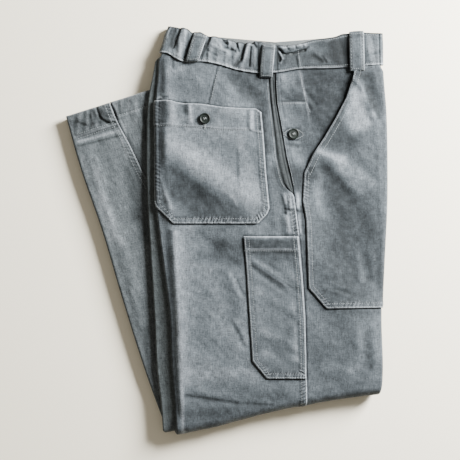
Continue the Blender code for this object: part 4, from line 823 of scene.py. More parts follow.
def make_grain_group():
    """Fine mottling of hard or plain surfaces: a colour between two, by noise, and a height."""
    tree, given, result = group_tree(
        "fine_grain",
        (("Vector", "NodeSocketVector"), ("Scale", "NodeSocketFloat"), ("One", "NodeSocketColor"),
         ("Two", "NodeSocketColor")),
        (("Color", "NodeSocketColor"), ("Height", "NodeSocketFloat")))
    node = tree.nodes.new("ShaderNodeTexNoise")
    node.inputs["Detail"].default_value = 4.0
    tree.links.new(given.outputs["Vector"], node.inputs["Vector"])
    tree.links.new(given.outputs["Scale"], node.inputs["Scale"])
    tree.links.new(mix_node(tree, node.outputs["Fac"], given.outputs["One"], given.outputs["Two"]),
                   result.inputs["Color"])
    tree.links.new(node.outputs["Fac"], result.inputs["Height"])
    return tree


WEAVE = make_weave_group()
GRAIN = make_grain_group()


def open_material(name, roughness):
    """A material and its Principled shader."""
    material = bpy.data.materials.new(name)
    material.use_nodes = True
    shader = material.node_tree.nodes["Principled BSDF"]
    shader.inputs["Roughness"].default_value = roughness
    return material, material.node_tree, shader


def add_bump(tree, shader, height, strength, distance):
    """A bump of the given height."""
    bump = tree.nodes.new("ShaderNodeBump")
    bump.inputs["Strength"].default_value = strength
    bump.inputs["Distance"].default_value = distance
    tree.links.new(height, bump.inputs["Height"])
    tree.links.new(bump.outputs["Normal"], shader.inputs["Normal"])


def denim(name, deep, mid, pale, heather=1.15):
    """Denim that reads the piece's plan and tone."""
    material, tree, shader = open_material(name, 0.88)
    plan = tree.nodes.new("ShaderNodeUVMap")
    plan.uv_map = "plan"
    tone = tree.nodes.new("ShaderNodeAttribute")
    tone.attribute_name = "tone"
    weave = tree.nodes.new("ShaderNodeGroup")
    weave.node_tree = WEAVE
    tree.links.new(plan.outputs["UV"], weave.inputs["Vector"])
    tree.links.new(tone.outputs["Vector"], weave.inputs["Tone"])
    for label, colour in (("Deep", deep), ("Mid", mid), ("Pale", pale)):
        weave.inputs[label].default_value = (*colour, 1.0)
    weave.inputs["Heather"].default_value = heather
    tree.links.new(weave.outputs["Color"], shader.inputs["Base Color"])
    tree.links.new(weave.outputs["Roughness"], shader.inputs["Roughness"])
    add_bump(tree, shader, weave.outputs["Height"], 1.0, 0.0011)
    shader.inputs["Sheen Weight"].default_value = 0.10
    shader.inputs["Sheen Roughness"].default_value = 0.45
    shader.inputs["Specular IOR Level"].default_value = 0.22
    return material


def grained(name, one, two, scale, roughness, bump=0.0002):
    """A surface of two close colours, mottled on Object coordinates."""
    material, tree, shader = open_material(name, roughness)
    where = tree.nodes.new("ShaderNodeTexCoord")
    grain = tree.nodes.new("ShaderNodeGroup")
    grain.node_tree = GRAIN
    grain.inputs["Scale"].default_value = scale
    grain.inputs["One"].default_value = (*one, 1.0)
    grain.inputs["Two"].default_value = (*two, 1.0)
    tree.links.new(where.outputs["Object"], grain.inputs["Vector"])
    tree.links.new(grain.outputs["Color"], shader.inputs["Base Color"])
    add_bump(tree, shader, grain.outputs["Height"], 0.5, bump)
    return material, shader


DENIM_BODY = denim("body_denim", (0.010, 0.013, 0.015), (0.068, 0.081, 0.091), (0.212, 0.238, 0.264))
DENIM_POCKET = denim("pocket_denim", (0.010, 0.013, 0.015), (0.062, 0.074, 0.083), (0.205, 0.230, 0.254))
DENIM_BAND = denim("waistband_denim", (0.006, 0.008, 0.009), (0.062, 0.075, 0.084), (0.230, 0.257, 0.280))
DENIM_LEG = denim("lower_leg_denim", (0.010, 0.013, 0.014), (0.078, 0.091, 0.098), (0.225, 0.249, 0.270))
# A darker copy of the denim for cloth that lies in shade: painted shade on the hidden layers and on the strip in
# the side opening.
SHADED_INNER_DENIM = denim("inner_denim_painted_shade", (0.012, 0.015, 0.016), (0.052, 0.062, 0.065), (0.125, 0.142, 0.151))
THREAD_MATERIAL, _ = grained("sewing_thread", (0.26, 0.29, 0.30), (0.15, 0.17, 0.18), 900.0, 0.7)
RESIN, RESIN_SHADER = grained("button_resin", (0.002, 0.004, 0.003), (0.007, 0.011, 0.009), 260.0, 0.5, 0.00005)
RESIN_SHADER.inputs["Specular IOR Level"].default_value = 0.2
PALE_THREAD, _ = grained("button_thread", (0.20, 0.22, 0.22), (0.12, 0.13, 0.13), 1200.0, 0.7)


# Edge lines of the patch pockets on the plan: left, right, foot and top.

def on_plan(points):
    """Outline measured where the trousers lie, taken to the plan."""
    points = np.asarray(points, float)
    return np.stack((points[:, 0], flat_y(points[:, 0], lowered(points[:, 1]))), -1)


def back_pocket_lines():
    """Squarish pocket with two cut corners, whose left side follows the edge of the leg."""
    low_left = on_plan(((-76.0, 10.2), (-101.0, 34.0)))
    climb = np.array([(float(edges(y)[0]) - 1.4, y) for y in (40.0, 70.0, 110.0, 150.0)])
    top = on_plan(((-104.0, 188.0), (-79.0, 187.5), (-49.0, 183.6), (-7.5, 178.6), (43.0, 177.0), (50.5, 172.0)))
    left = np.concatenate((low_left, climb, top[:1]))
    right = on_plan(((45.5, 10.2), (58.5, 23.5), (62.0, 32.0), (57.1, 84.4), (53.9, 134.0), (50.5, 172.0)))
    return left, right, on_plan(((-76.0, 10.2), (45.5, 10.2))), top


def tool_pocket_lines():
    """Long narrow pocket with one cut corner."""
    left = on_plan(((58.1, -214.6), (37.4, -189.5), (32.3, -111.1), (28.6, -51.9), (24.9, -8.0)))
    right = on_plan(((114.0, -215.0), (114.2, -185.0), (112.7, -126.0), (108.9, -66.7), (103.4, -8.0)))
    return left, right, on_plan(((58.1, -214.6), (114.0, -215.0))), on_plan(((24.9, -8.0), (103.4, -8.0)))


def front_pocket_lines():
    """Large pocket with a slanted opening that runs up to the waistband."""
    slant = on_plan(((143.4, -112.7), (117.6, -82.7), (116.2, -43.5), (114.6, 14.5), (109.8, 43.5), (112.5, 84.0),
                     (125.0, 110.9), (141.7, 135.9), (158.3, 164.1), (173.3, 192.6), (183.3, 221.0)))
    left = np.concatenate((slant, ((186.8, BAND_FOOT - 0.5),)))
    right = np.array([(float(edges(y)[1]) + 2.8, y)
                      for y in (-113.6, -70.0, -20.0, 40.0, 116.0, 180.0, 220.0, 234.0, BAND_FOOT - 0.5)])
    return left, right, np.array((left[0], right[0])), np.array((left[-1], right[-1]))


def pocket_outline(left, right, foot, top):
    """Closed outline of a pocket from its four edge lines, up the left side first."""
    return np.concatenate((left[:-1], top[:-1], right[::-1][:-1], foot[::-1][:-1]))


BACK_POCKET = back_pocket_lines()
TOOL_POCKET = tool_pocket_lines()
FRONT_POCKET = front_pocket_lines()


# Panels of the upper leg.

def panel_grid(side, column, stops):
    """Plan of a panel: columns in the side roll, then evenly up to the side edge, on rows that turn with the
    knee fold. The rows are solved with the columns in six steps."""
    turn = np.concatenate(((math.pi,), np.linspace(math.pi, 0.0, 12), np.zeros(len(stops))))
    wrap = np.concatenate(((SIDE_WRAP,), np.zeros(12 + len(stops))))
    share = np.concatenate((np.zeros(13), stops))
    rows = np.concatenate((np.linspace(PANEL_TOP, FOLD_MIDDLE, 372),
                           np.linspace(FOLD_MIDDLE, bend_row(157.5), 26)[1:]))
    if side > 0:
        turn, wrap, share = turn[::-1], wrap[::-1], share[::-1]
    y = np.repeat(rows[:, None], len(turn), axis=1)
    for _ in range(6):
        left, right, stack = edges(y)
        radius = stack / 4.0
        outer = left if side < 0 else right
        edge = np.interp(y, SIDE_EDGES[:, 0], SIDE_EDGES[:, column]) + side * GAP / 2.0
        x = (outer - side * radius + side * (radius * turn + wrap)
             + (edge - outer + side * radius) * share)
        y = row_line(rows[:, None], x)
    return x, y


FELL = 9.0              # width of the felled side seam
OPENING_FOOT = 50.0


def seam_relief(x, y, side):
    """Felled side seam below the opening and stitched edge beside it, by the distance to the side edge."""
    away = np.abs(x - np.interp(y, SIDE_EDGES[:, 0], SIDE_EDGES[:, 1 if side < 0 else 2]))
    lying = y + wave(x, y)
    height, wear_and_highlight, deep = hem(away, y, FELL, rise=0.35, pucker=0.50, pitch=5.2)
    share = smooth((OPENING_FOOT + 6.0 - lying) / 8.0) if side < 0 else 0.0
    edge = bell(away / 1.2) * (1.0 - share)
    fold = bell((away - 7.5) / 1.1) * smooth((lying - OPENING_FOOT) / 8.0) * (1.0 - under_band(y))
    # Painted shade: along the side edge, in the opening's fold line, and a patch beside the top of the opening.
    shade = 0.9 * np.exp(-(away / 10.0) ** 2 - ((lying - 74.0) / 16.0) ** 2)
    return (height * share - 0.5 * edge - 0.25 * fold, wear_and_highlight * share + 0.10 * edge,
            deep * share + 0.45 * fold + 0.30 * edge + shade)


def dart(x, y):
    """Stitched dart of the back: a narrow groove that tapers away from the waistband, pale on one side. The groove
    gets painted shade and the pale side is a painted highlight.
    """
    top, foot = (-10.2, 242.0), (-26.6, 178.0)
    t, far = nearest(x, y, top, foot)
    away = x - top[0] - t * (foot[0] - top[0]) + (y - top[1] - t * (foot[1] - top[1])) * 0.2
    return bell(far / 1.6), bell((away - 2.0) / 1.5) * np.exp(-(far / 4.0) ** 4)


def panel_lift(side):
    """Lift and tone of a panel as functions of the plan."""
    def lift(x, y):
        """Seams, the dart or the facing's lines, and the shade beside the waistband and the pockets."""
        height, wear_and_highlight, deep = seam_relief(x, y, side)
        lying = y + wave(x, y)
        if side < 0:
            # The dart's groove is painted dark as shade and its ridge pale as a highlight.
            groove, ridge = dart(x, lying)
            height = height - 1.1 * groove + 0.35 * ridge
            wear_and_highlight, deep = wear_and_highlight + 0.30 * ridge, deep + 1.0 * groove
        else:
            # The facing's groove and the flap's line get painted shade; the pale lines below the facing and along
            # the flap are worn edges with painted highlight.
            within = smooth((x - 74.0) / 4.0) * smooth((118.0 - x) / 6.0)
            facing = bell((lying - 186.0) / 1.6) * within
            line = bell((x - 107.0 - (230.0 - lying) * 0.2) / 1.5) * smooth((lying - 150.0) / 30.0)
            height = height - 0.35 * facing - 0.3 * line * (1.0 - under_band(y))
            deep = deep + 0.5 * facing + 0.1 * line
            wear_and_highlight = wear_and_highlight + 0.35 * bell((lying - 183.2) / 1.4) * within + 0.5 * line
        deep = deep + 0.55 * bell((BAND_FOOT - 1.0 - y) / 2.6)
        for pocket in (BACK_POCKET, TOOL_POCKET) if side < 0 else (FRONT_POCKET,):
            beside, _ = to_outline(pocket_outline(*pocket), x, y)
            groove = bell((beside - 0.6) / 1.5)
            height, deep = height - 0.5 * groove, deep + 0.9 * groove
        return height, tones(fade_and_painted_light(x, y), wear_and_highlight, deep)
    return lift


def make_panel(name, node, side, column, stops):
    """One panel of the upper leg, from the waist to the turned-under knee."""
    x, y = panel_grid(side, column, stops)
    height, tone = panel_lift(side)(x, y)
    plan = np.stack((x, y), -1)
    body = cloth_object(name, upper_cloth(x, y, height), plan, tone, DENIM_BODY)
    finish_sheet(body, node)


def panel_surface(side):
    """Place on the face of a panel, at a height above it."""
    lift = panel_lift(side)
    return lambda x, y, rise: upper_cloth(x, y, lift(x, y)[0] + rise)


BACK_STOPS = np.concatenate((np.linspace(0.0, 0.9, 70), np.linspace(0.9, 1.0, 18)[1:]))[1:]
FRONT_STOPS = np.concatenate((np.linspace(0.0, 0.85, 52), np.linspace(0.85, 1.0, 20)[1:]))[1:]


def side_line(column, top, foot, away):
    """A line beside the side edge, from one height to another, a distance away from it."""
    y = np.linspace(top, foot, 60)
    return np.stack((np.interp(y, SIDE_EDGES[:, 0], SIDE_EDGES[:, column]) + away, y), -1)


def make_panels():
    """Both panels, with the stitches of the side seam, the side opening and the dart."""
    make_panel("upper_back_panel", "back_panel", -1, 1, BACK_STOPS)
    make_panel("upper_front_panel", "front_panel", 1, 2, FRONT_STOPS)
    back, front = panel_surface(-1), panel_surface(1)
    fold = float(fold_line(115.0)) - 14.0
    rows = [stitch_row(side_line(1, 44.0, fold, -2.0), back, 0.1),
            stitch_row(side_line(1, 44.0, fold, -FELL + 1.6), back, 0.1),
            stitch_row(side_line(1, 224.0, 60.0, -2.2), back, 0.1)]
    dart_line = on_plan(((-15.4, 228.0), (-24.0, 190.0)))
    rows.append(stitch_row(dart_line + (2.4, 0.0), back, 0.1))
    stitching("side_seam_stitching", rows)
    facing = on_plan(((78.0, 184.4), (112.0, 186.0)))
    flap = on_plan(((107.4, 228.0), (111.0, 208.0), (116.0, 186.0), (122.0, 172.0)))
    rows = [stitch_row(side_line(2, 226.0, 62.0, 1.8), front, 0.1), stitch_row(facing, front, 0.1),
            stitch_row(flap, front, 0.1)]
    stitching("side_opening_stitching", rows)


# Strip beneath the side opening.

def make_placket():
    """Strip between the two edges of the opening: flat beneath both, with a rounded double rib between."""
    y = np.repeat(np.linspace(PANEL_TOP, 46.5, 150)[:, None], 41, axis=1)
    back = np.interp(y, SIDE_EDGES[:, 0], SIDE_EDGES[:, 1])
    front = np.interp(y, SIDE_EDGES[:, 0], SIDE_EDGES[:, 2])
    t = np.linspace(0.0, 1.0, 41)[None]
    x = back - 6.0 + (front - back + 12.0) * t
    share = (x - back) / np.maximum(front - back, 0.5)
    rib = smooth(share / 0.30) * smooth((1.0 - share) / 0.30) * smooth((front - back) / 5.0)
    groove = bell((share - 0.62) / 0.09)
    crest = bell((share - 0.38) / 0.16)
    lift = -CORE_DROP + (CORE_DROP - 0.45) * rib - 0.7 * groove * rib + 0.35 * crest * rib
    lying = y + wave(x, y)
    lift = lift + 0.25 * np.sin(lying / 9.0 + 1.0) * rib
    # Painted shade: the strip is darker all over, as it lies in the opening's shade, and darker still lower down,
    # in its groove and beneath both edges; its crest gets a faint painted highlight.
    low = smooth((170.0 - lying) / 90.0)
    tone = tones(fade_and_painted_light(x, y) - 1.10 - 0.3 * low, (0.12 - 0.10 * low) * crest * rib,
                 0.8 * groove * rib + 0.60 * (1.0 - rib) + 0.30 * low)
    plan = np.stack((x, y), -1)
    body = cloth_object("side_opening_strip", upper_cloth(x, y, lift), plan, tone, SHADED_INNER_DENIM)
    finish_sheet(body, "side_placket")


# Patch pockets.

def spaced(length, fine, coarse, border):
    """Stops from 0 to 1 along a length, closer together within a border at both ends."""
    count = max(int(round((length - 2.0 * border) / coarse)), 4)
    close = max(int(round(border / fine)), 3)
    middle = np.linspace(border, length - border, count + 1)
    return np.concatenate((np.linspace(0.0, border, close + 1)[:-1], middle,
                           np.linspace(length - border, length, close + 1)[1:])) / length


BORDER = 8.6            # width of a pocket's stitched border
BACK_HEM = 34.0         # from the back pocket's opening to the stitch line of its hem
TOOL_HEM = 21.0         # the same on the tool pocket
SEWN, OPEN, PLAIN = "sewn", "open", "plain"


def border_rows(*lines):
    """Two rows of stitches inside each edge line."""
    return [inset(line, away) for line in lines for away in (2.0, 7.0)]


def pocket_lift(outline, kinds, top_depth, pitch, gaping):
    """Lift and tone of a pocket: a stitched border along the sides that are sewn, a plain turned edge where it
    is open, which gapes a little, and the hem's stitch line below its opening. kinds names each side of the
    outline: sewn, open, or plain beneath the waistband and round the front fold."""
    closed = np.roll(outline, -1, axis=0)

    def lift(x, y):
        """Border, turned edge and hem at places of the plan."""
        lying = y + wave(x, y)
        _, run = to_outline(outline, x, y)
        pucker = (0.2 + 0.4 * smooth((outline[:, 1].min() + 20.0 - y) / 10.0)
                  + 0.3 * bell((lying - 52.0) / 27.0))
        sewn = np.full(run.shape, FAR)
        open_edge = np.full(run.shape, FAR)
        for a, b, kind in zip(outline, closed, kinds):
            _, away = nearest(x, y, a, b)
            if kind == SEWN:
                sewn = np.minimum(sewn, away)
            elif kind == OPEN:
                open_edge = np.minimum(open_edge, away)
        height, wear_and_highlight, deep = hem(sewn, run, BORDER, rise=0.40, pucker=pucker, pitch=pitch)
        rim = -0.5 * clamp(1.0 - open_edge / 1.1) ** 2
        gape = gaping * bell(open_edge / 15.0) * smooth(sewn / 26.0)
        height = height + rim + gape
        # The open edge is pale with wear; the hem's fold is pale with wear and painted highlight, and its stitch
        # line gets painted shade.
        wear_and_highlight = wear_and_highlight + 0.95 * bell(open_edge / 1.4)
        if top_depth > 0.0:
            line = bell((open_edge - top_depth) / 1.0)
            height = height + 0.40 * smooth((top_depth - open_edge) / 1.0) - 0.45 * line
            wear_and_highlight = wear_and_highlight + 0.50 * bell((open_edge - top_depth + 2.2) / 1.3)
            deep = deep + 0.60 * line
        return POCKET_LIFT + height, tones(fade_and_painted_light(x, y) + 0.05 * np.sin(lying / 23.0), wear_and_highlight, deep)
    return lift


def make_pocket(name, node, left, right, foot, top, kinds, top_depth, pitch, gaping, rows):
    """A patch pocket between four edge lines on the plan, laid on its panel, and its stitches."""
    outline = pocket_outline(left, right, foot, top)
    across = float(np.hypot(*(foot[-1] - foot[0])) + np.hypot(*(top[-1] - top[0]))) / 2.0
    up = float(np.hypot(*(left[-1] - left[0])))
    u, v = spaced(max(across, 60.0), 1.0, 1.5, 12.0), spaced(up, 1.0, 1.4, 12.0)[::-1]
    plan = patch(left, right, foot, top, u, v)
    lift = pocket_lift(outline, kinds, top_depth, pitch, gaping)
    height, tone = lift(plan[..., 0], plan[..., 1])
    place = upper_cloth(plan[..., 0], plan[..., 1], height)
    body = cloth_object(name, place, plan, tone, DENIM_POCKET)
    finish_sheet(body, node)
    surface = lambda x, y, rise: upper_cloth(x, y, lift(x, y)[0] + rise)
    stitching(name + "_stitching", [stitch_row(line, surface, 0.12) for line in rows])
    return surface


def make_pockets():
    """The three patch pockets."""
    left, right, foot, top = BACK_POCKET
    kinds = (SEWN,) * 6 + (OPEN,) * 5 + (SEWN,) * 6
    rows = border_rows(foot, right, left[::-1][4:]) + [inset(top[::-1], BACK_HEM)[1:]]
    back_face = make_pocket("back_patch_pocket", "back_pocket", left, right, foot, top, kinds, BACK_HEM, 5.0,
                            0.7, rows)
    left, right, foot, top = TOOL_POCKET
    kinds = (SEWN,) * 4 + (OPEN,) + (SEWN,) * 5
    rows = border_rows(foot, right, left[::-1]) + [inset(top[::-1], TOOL_HEM)]
    make_pocket("long_tool_pocket", "tool_pocket", left, right, foot, top, kinds, TOOL_HEM, 4.4, 0.4, rows)
    left, right, foot, top = FRONT_POCKET
    kinds = (SEWN,) * 5 + (OPEN,) * 6 + (PLAIN,) * 9 + (SEWN,)
    rows = border_rows(foot, left[:6][::-1]) + [inset(left[5:][::-1], 2.4), inset(left[5:][::-1], 9.0)]
    make_pocket("front_patch_pocket", "front_pocket", left, right, foot, top, kinds, 0.0, 5.0, 3.2, rows)
    return back_face


# Waistband and belt loops.

# Bumps and notches of the waistband's upper edge: x, width, rise.
EDGE_BUMPS = np.array((
    (-75, 5, 1.2), (-60, 6, 2.8), (-49, 3.2, -1.4), (-38, 7.5, 2.6), (-24.5, 2.5, -1.2), (-13, 6, 1.3),
    (-3, 2.2, -0.7), (5, 7, 1.3), (14, 2, -1), (20, 3, 0.6), (27, 2.4, -1.3), (33, 3, 0.6), (46, 9, 2.9),
    (38, 1.6, -0.9), (74, 3, -0.8), (86, 5, -0.9), (108, 5, 0.8), (168, 6, 1.4)))


def edge_bumps(x, y):
    """Rise of the waistband's upper edge: bell curves of x and a fine ripple, fading out down the band."""
    rise = np.zeros(np.broadcast(x, y).shape)
    for at, width, height in EDGE_BUMPS:
        rise = rise + height * bell((x - at) / width)
    ripple = 0.35 * np.sin(x / 1.9 + 2.0 * np.sin(x / 8.0)) * smooth((BAND_SPLIT + 40.0 - x) / 30.0)
    return (rise + ripple) * smooth((y - 258.0) / (BAND_TOP - 258.0)) ** 1.5


def band_relief(x, y):
    """Gathers, pleats and puffs of the waistband, flat beneath the belt loops, with its stitched foot and top."""
    lying = y + wave(x, y)
    back = smooth((BAND_SPLIT - x) / 8.0)
    height = np.zeros(x.shape)
    for at, width, rise in GATHERS:
        drift = 0.10 * (lying - 262.0)
        height = height + 0.6 * rise * back * bell((x - at - drift) / width)
    height = height + ridges(PLEATS, x, lying)
    fine = np.sin(x / 1.15 + 1.6 * np.sin(x / 7.0) + lying / 16.0) * (0.5 + 0.5 * np.sin(x / 13.0 + 0.5))
    height = height + 0.28 * fine * back + 0.12 * np.sin(x / 7.0 + lying / 9.0) * (1.0 - back)
    height = height + 0.5 * sway(x * 1.7, lying * 1.7)
    clear = np.ones(x.shape)
    for _, top_x, _, foot_x, _, _, _ in LOOPS:
        away = np.abs(x - (top_x + foot_x) / 2.0)
        clear = clear * (0.12 + 0.88 * smooth((away - LOOP_CLEAR[0]) / (LOOP_CLEAR[1] - LOOP_CLEAR[0])))
    height = height * clear
    low, high = y - BAND_FOOT, BAND_TOP - y
    rim = -0.8 * clamp(1.0 - low / 1.4) ** 2 - 0.8 * clamp(1.0 - high / 1.6) ** 2
    row = bell((low - 3.6) / 0.8)
    wear_and_shade_marks = ridges(BAND_WEAR_AND_SHADE_MARKS, x, lying)
    # Tone: pale worn edges at the foot and top; the crests of the gathers painted pale as highlights, and their
    # dips, the stitch groove and the upper edge painted dark as shade; the marks add wear with painted highlights,
    # and painted shade in grooves.
    wear_and_highlight = 0.95 * bell((low - 1.1) / 1.5) + 0.25 * bell((high - 3.6) / 1.2)
    wear_and_highlight = wear_and_highlight + 0.16 * np.clip(height, 0.0, 1.5) + clamp(wear_and_shade_marks)
    deep = 0.45 * row + 0.30 * np.clip(-height - 0.3, 0.0, 1.5) + clamp(-wear_and_shade_marks)
    deep = deep + 1.0 * bell((high - 0.6) / 1.5)
    return height + rim - 0.40 * row, wear_and_highlight, deep


def peek(x, row):
    """How far the under half of the band lies past its upper half in plan; a negative value draws it in."""
    return PEEK * smooth((row - 262.0) / 23.0) * smooth((x + 60.0) / 50.0) * smooth((190.0 - x) / 50.0)


def make_band_half(name, node, side, count):
    """Half of the waistband as one strip: over the top, round the end as a half circle and back beneath."""
    rows = np.linspace(BAND_TOP, BAND_FOOT, 40)[:, None]
    radius = (through(SECTIONS, 4, rows) + BAND_LIFT) / 2.0
    centre = through(SECTIONS, 1 if side < 0 else 2, rows) - side * radius
    centre = centre + (2.2 if side > 0 else -2.4 * smooth((rows - 250.0) / 30.0))
    start = BAND_SPLIT + side * GAP / 2.0
    x = start + (centre - start) * np.linspace(0.0, 1.0, count)[None]
    y = np.repeat(rows, count, axis=1)
    height, wear_and_highlight, deep = band_relief(x, y)
    fade = smooth(np.abs(x - centre) / 6.0)
    top = upper_cloth(x, y, BAND_LIFT + height * fade)
    top[..., 1] += edge_bumps(x, y) * smooth(side * (centre - x) / 8.0)
    turn = np.linspace(0.0, math.pi, 14)[None, 1:-1]
    end_y = np.repeat(rows, 12, axis=1)
    pucker = 0.25 * np.sin(turn * 9.0 + rows / 6.0)
    end = settle(centre + side * (radius + pucker) * np.sin(turn), end_y, radius + (radius + pucker) * np.cos(turn))
    under_x = centre + (start - centre) * np.linspace(0.0, 1.0, 60)[None]
    under_y = np.repeat(rows, 60, axis=1)
    under = settle(under_x, under_y + peek(under_x, under_y), np.zeros(under_x.shape))
    under[..., 1] += 0.8 * edge_bumps(under_x, under_y)
    place = np.concatenate((top, end, under), axis=1)
    run = np.concatenate((x, centre + side * radius * turn, centre + side * math.pi * radius
                          - (under_x - centre)), axis=1)
    plan = np.stack((run, np.concatenate((y, end_y, under_y), axis=1)), -1)
    shade = 0.05 if side > 0 else 0.11
    pale = fade_and_painted_light(x, y) - shade
    seen = centre + side * radius * np.sin(turn)
    _, end_wear_and_highlight, end_deep = band_relief(seen, end_y)
    # The under half is painted dark as shade where it shows past the upper half.
    tone = np.concatenate((tones(pale, wear_and_highlight, deep), tones(fade_and_painted_light(seen, end_y) - shade, end_wear_and_highlight, end_deep),
                           np.broadcast_to((-0.4, 0.0, 0.9), (40, 60, 3))), axis=1)
    body = cloth_object(name, place, plan, tone, DENIM_BAND, wall=BAND_CLOTH, flip=side < 0)
    finish_sheet(body, node)
    surface = lambda at_x, at_y, rise: upper_cloth(at_x, at_y, BAND_LIFT + band_relief(at_x, at_y)[0] + rise)
    span = np.linspace(start + side * 3.0, float(centre[-1, 0]) - side * 4.0, 90)
    rows_of = [stitch_row(np.stack((span, np.full(90, BAND_FOOT + 3.6)), -1), surface, 0.1)]
    if side > 0:
        rows_of.append(stitch_row(np.stack((span, np.full(90, BAND_TOP - 3.0)), -1), surface, 0.1))
        join = on_plan(((104.0, 262.0), (106.5, 240.0)))
        rows_of.append(stitch_row(join, surface, 0.1))
    stitching(name + "_stitching", rows_of)


def make_belt_loops():
    """Folded strips over the waistband, crowned across, with a sewn row along each side and tucked ends."""
    for name, top_x, top_y, foot_x, foot_y, width, rest in LOOPS:
        top_y, foot_y = float(flat_y(top_x, top_y)), float(flat_y(foot_x, foot_y))
        t = np.linspace(0.0, 1.0, 34)[:, None]
        u = np.linspace(-0.5, 0.5, 21)[None]

        def strip(s, down):
            """Plan and lift on the strip: s across from its middle, down from its top."""
            at = top_x + (foot_x - top_x) * down + s
            row = top_y + (foot_y - top_y) * down
            rise = np.interp(row, LOOP_STEP, (rest, BAND_LIFT)) + GAP + LOOP_PLAY + LOOP_CLOTH
            edge = width / 2.0 - np.abs(s)
            crown = 1.0 * smooth(edge / 5.0) - 0.6 * clamp(1.0 - edge / 1.0) ** 2
            puff = 1.3 * np.sin(math.pi * clamp(down)) ** 0.7 + 0.25 * np.sin(down * 11.0 + s / 4.0)
            sewn = -0.3 * bell((edge - 2.6) / 0.7)
            ends = -0.7 * bell(np.minimum(down, 1.0 - down) * (top_y - foot_y) / 1.6)
            return at, row, rise + crown + puff + sewn + ends, edge

        at, row, rise, edge = strip(u * width, t)
        row = np.broadcast_to(row, at.shape)
        # Tone: worn pale edges, painted shade in the sewn rows and at the top tuck, and the lower half painted
        # darker as shade where the loop bends down.
        tone = tones(np.full(at.shape, -0.22) + 0.12 * np.sin(row / 6.0 + at / 5.0),
                     0.95 * bell(edge / 1.1) + 0.15 * bell((edge - 4.4) / 1.2),
                     0.50 * bell((edge - 2.6) / 0.8) + 0.55 * bell((t - 0.13) * 26.0)
                     + 0.45 * smooth((t - 0.55) / 0.45))
        plan = np.stack((at, row), -1)
        body = cloth_object("folded_" + name, upper_cloth(at, row, rise), plan, tone, DENIM_BAND, wall=LOOP_CLOTH)
        finish_sheet(body, name)
        rows = []
        half = 0.5 * STITCH_LENGTH / (top_y - foot_y)
        runs = [(np.full(13, s), (np.arange(13) + 0.5) / 13.0, 0.0, half)
                for s in (-width / 2.0 + 2.6, width / 2.0 - 2.6)]
        runs += [(np.linspace(-width / 2.0 + 3.0, width / 2.0 - 3.0, 6), np.full(6, cross), 1.1, 0.0)
                 for cross in (0.07, 0.93)]
        for s, down, step_s, step_down in runs:
            ends = []
            for way, above in ((-1.0, 0.1), (1.0, 0.1), (0.0, 0.1), (0.0, 0.7)):
                at_x, at_y, up, _ = strip(s + way * step_s, down + way * step_down)
                ends.append(upper_cloth(at_x, at_y, up + above))
            rows.append((ends[0], ends[1], ends[3] - ends[2]))
        stitching(name + "_stitching", rows)


# Buttons and buttonholes.

HOLE_RADIUS = 0.95
HOLE_SPREAD = 1.75      # from the button's axis to the middle of a hole
BUTTON_FACE = 1.75      # height of its face
RIM_AT = 6.7            # radius of its raised rim


def button_frame(surface, x, y, turn):
    """Seat, two directions across and the direction out of the cloth, from the surface 6 mm to each side."""
    one = np.array([x])
    two = flat_y(one, lowered(np.array([y])))
    seat = surface(one, two, 0.0)[0]
    along_x = surface(one + 6.0, two, 0.0)[0] - surface(one - 6.0, two, 0.0)[0]
    along_y = surface(one, two + 6.0, 0.0)[0] - surface(one, two - 6.0, 0.0)[0]
    out = np.cross(along_x, along_y)
    out = out / np.linalg.norm(out)
    first = along_x - out * (along_x @ out)
    first = first / np.linalg.norm(first)
    second = np.cross(out, first)
    return (seat, math.cos(turn) * first + math.sin(turn) * second,
            -math.sin(turn) * first + math.cos(turn) * second, out)


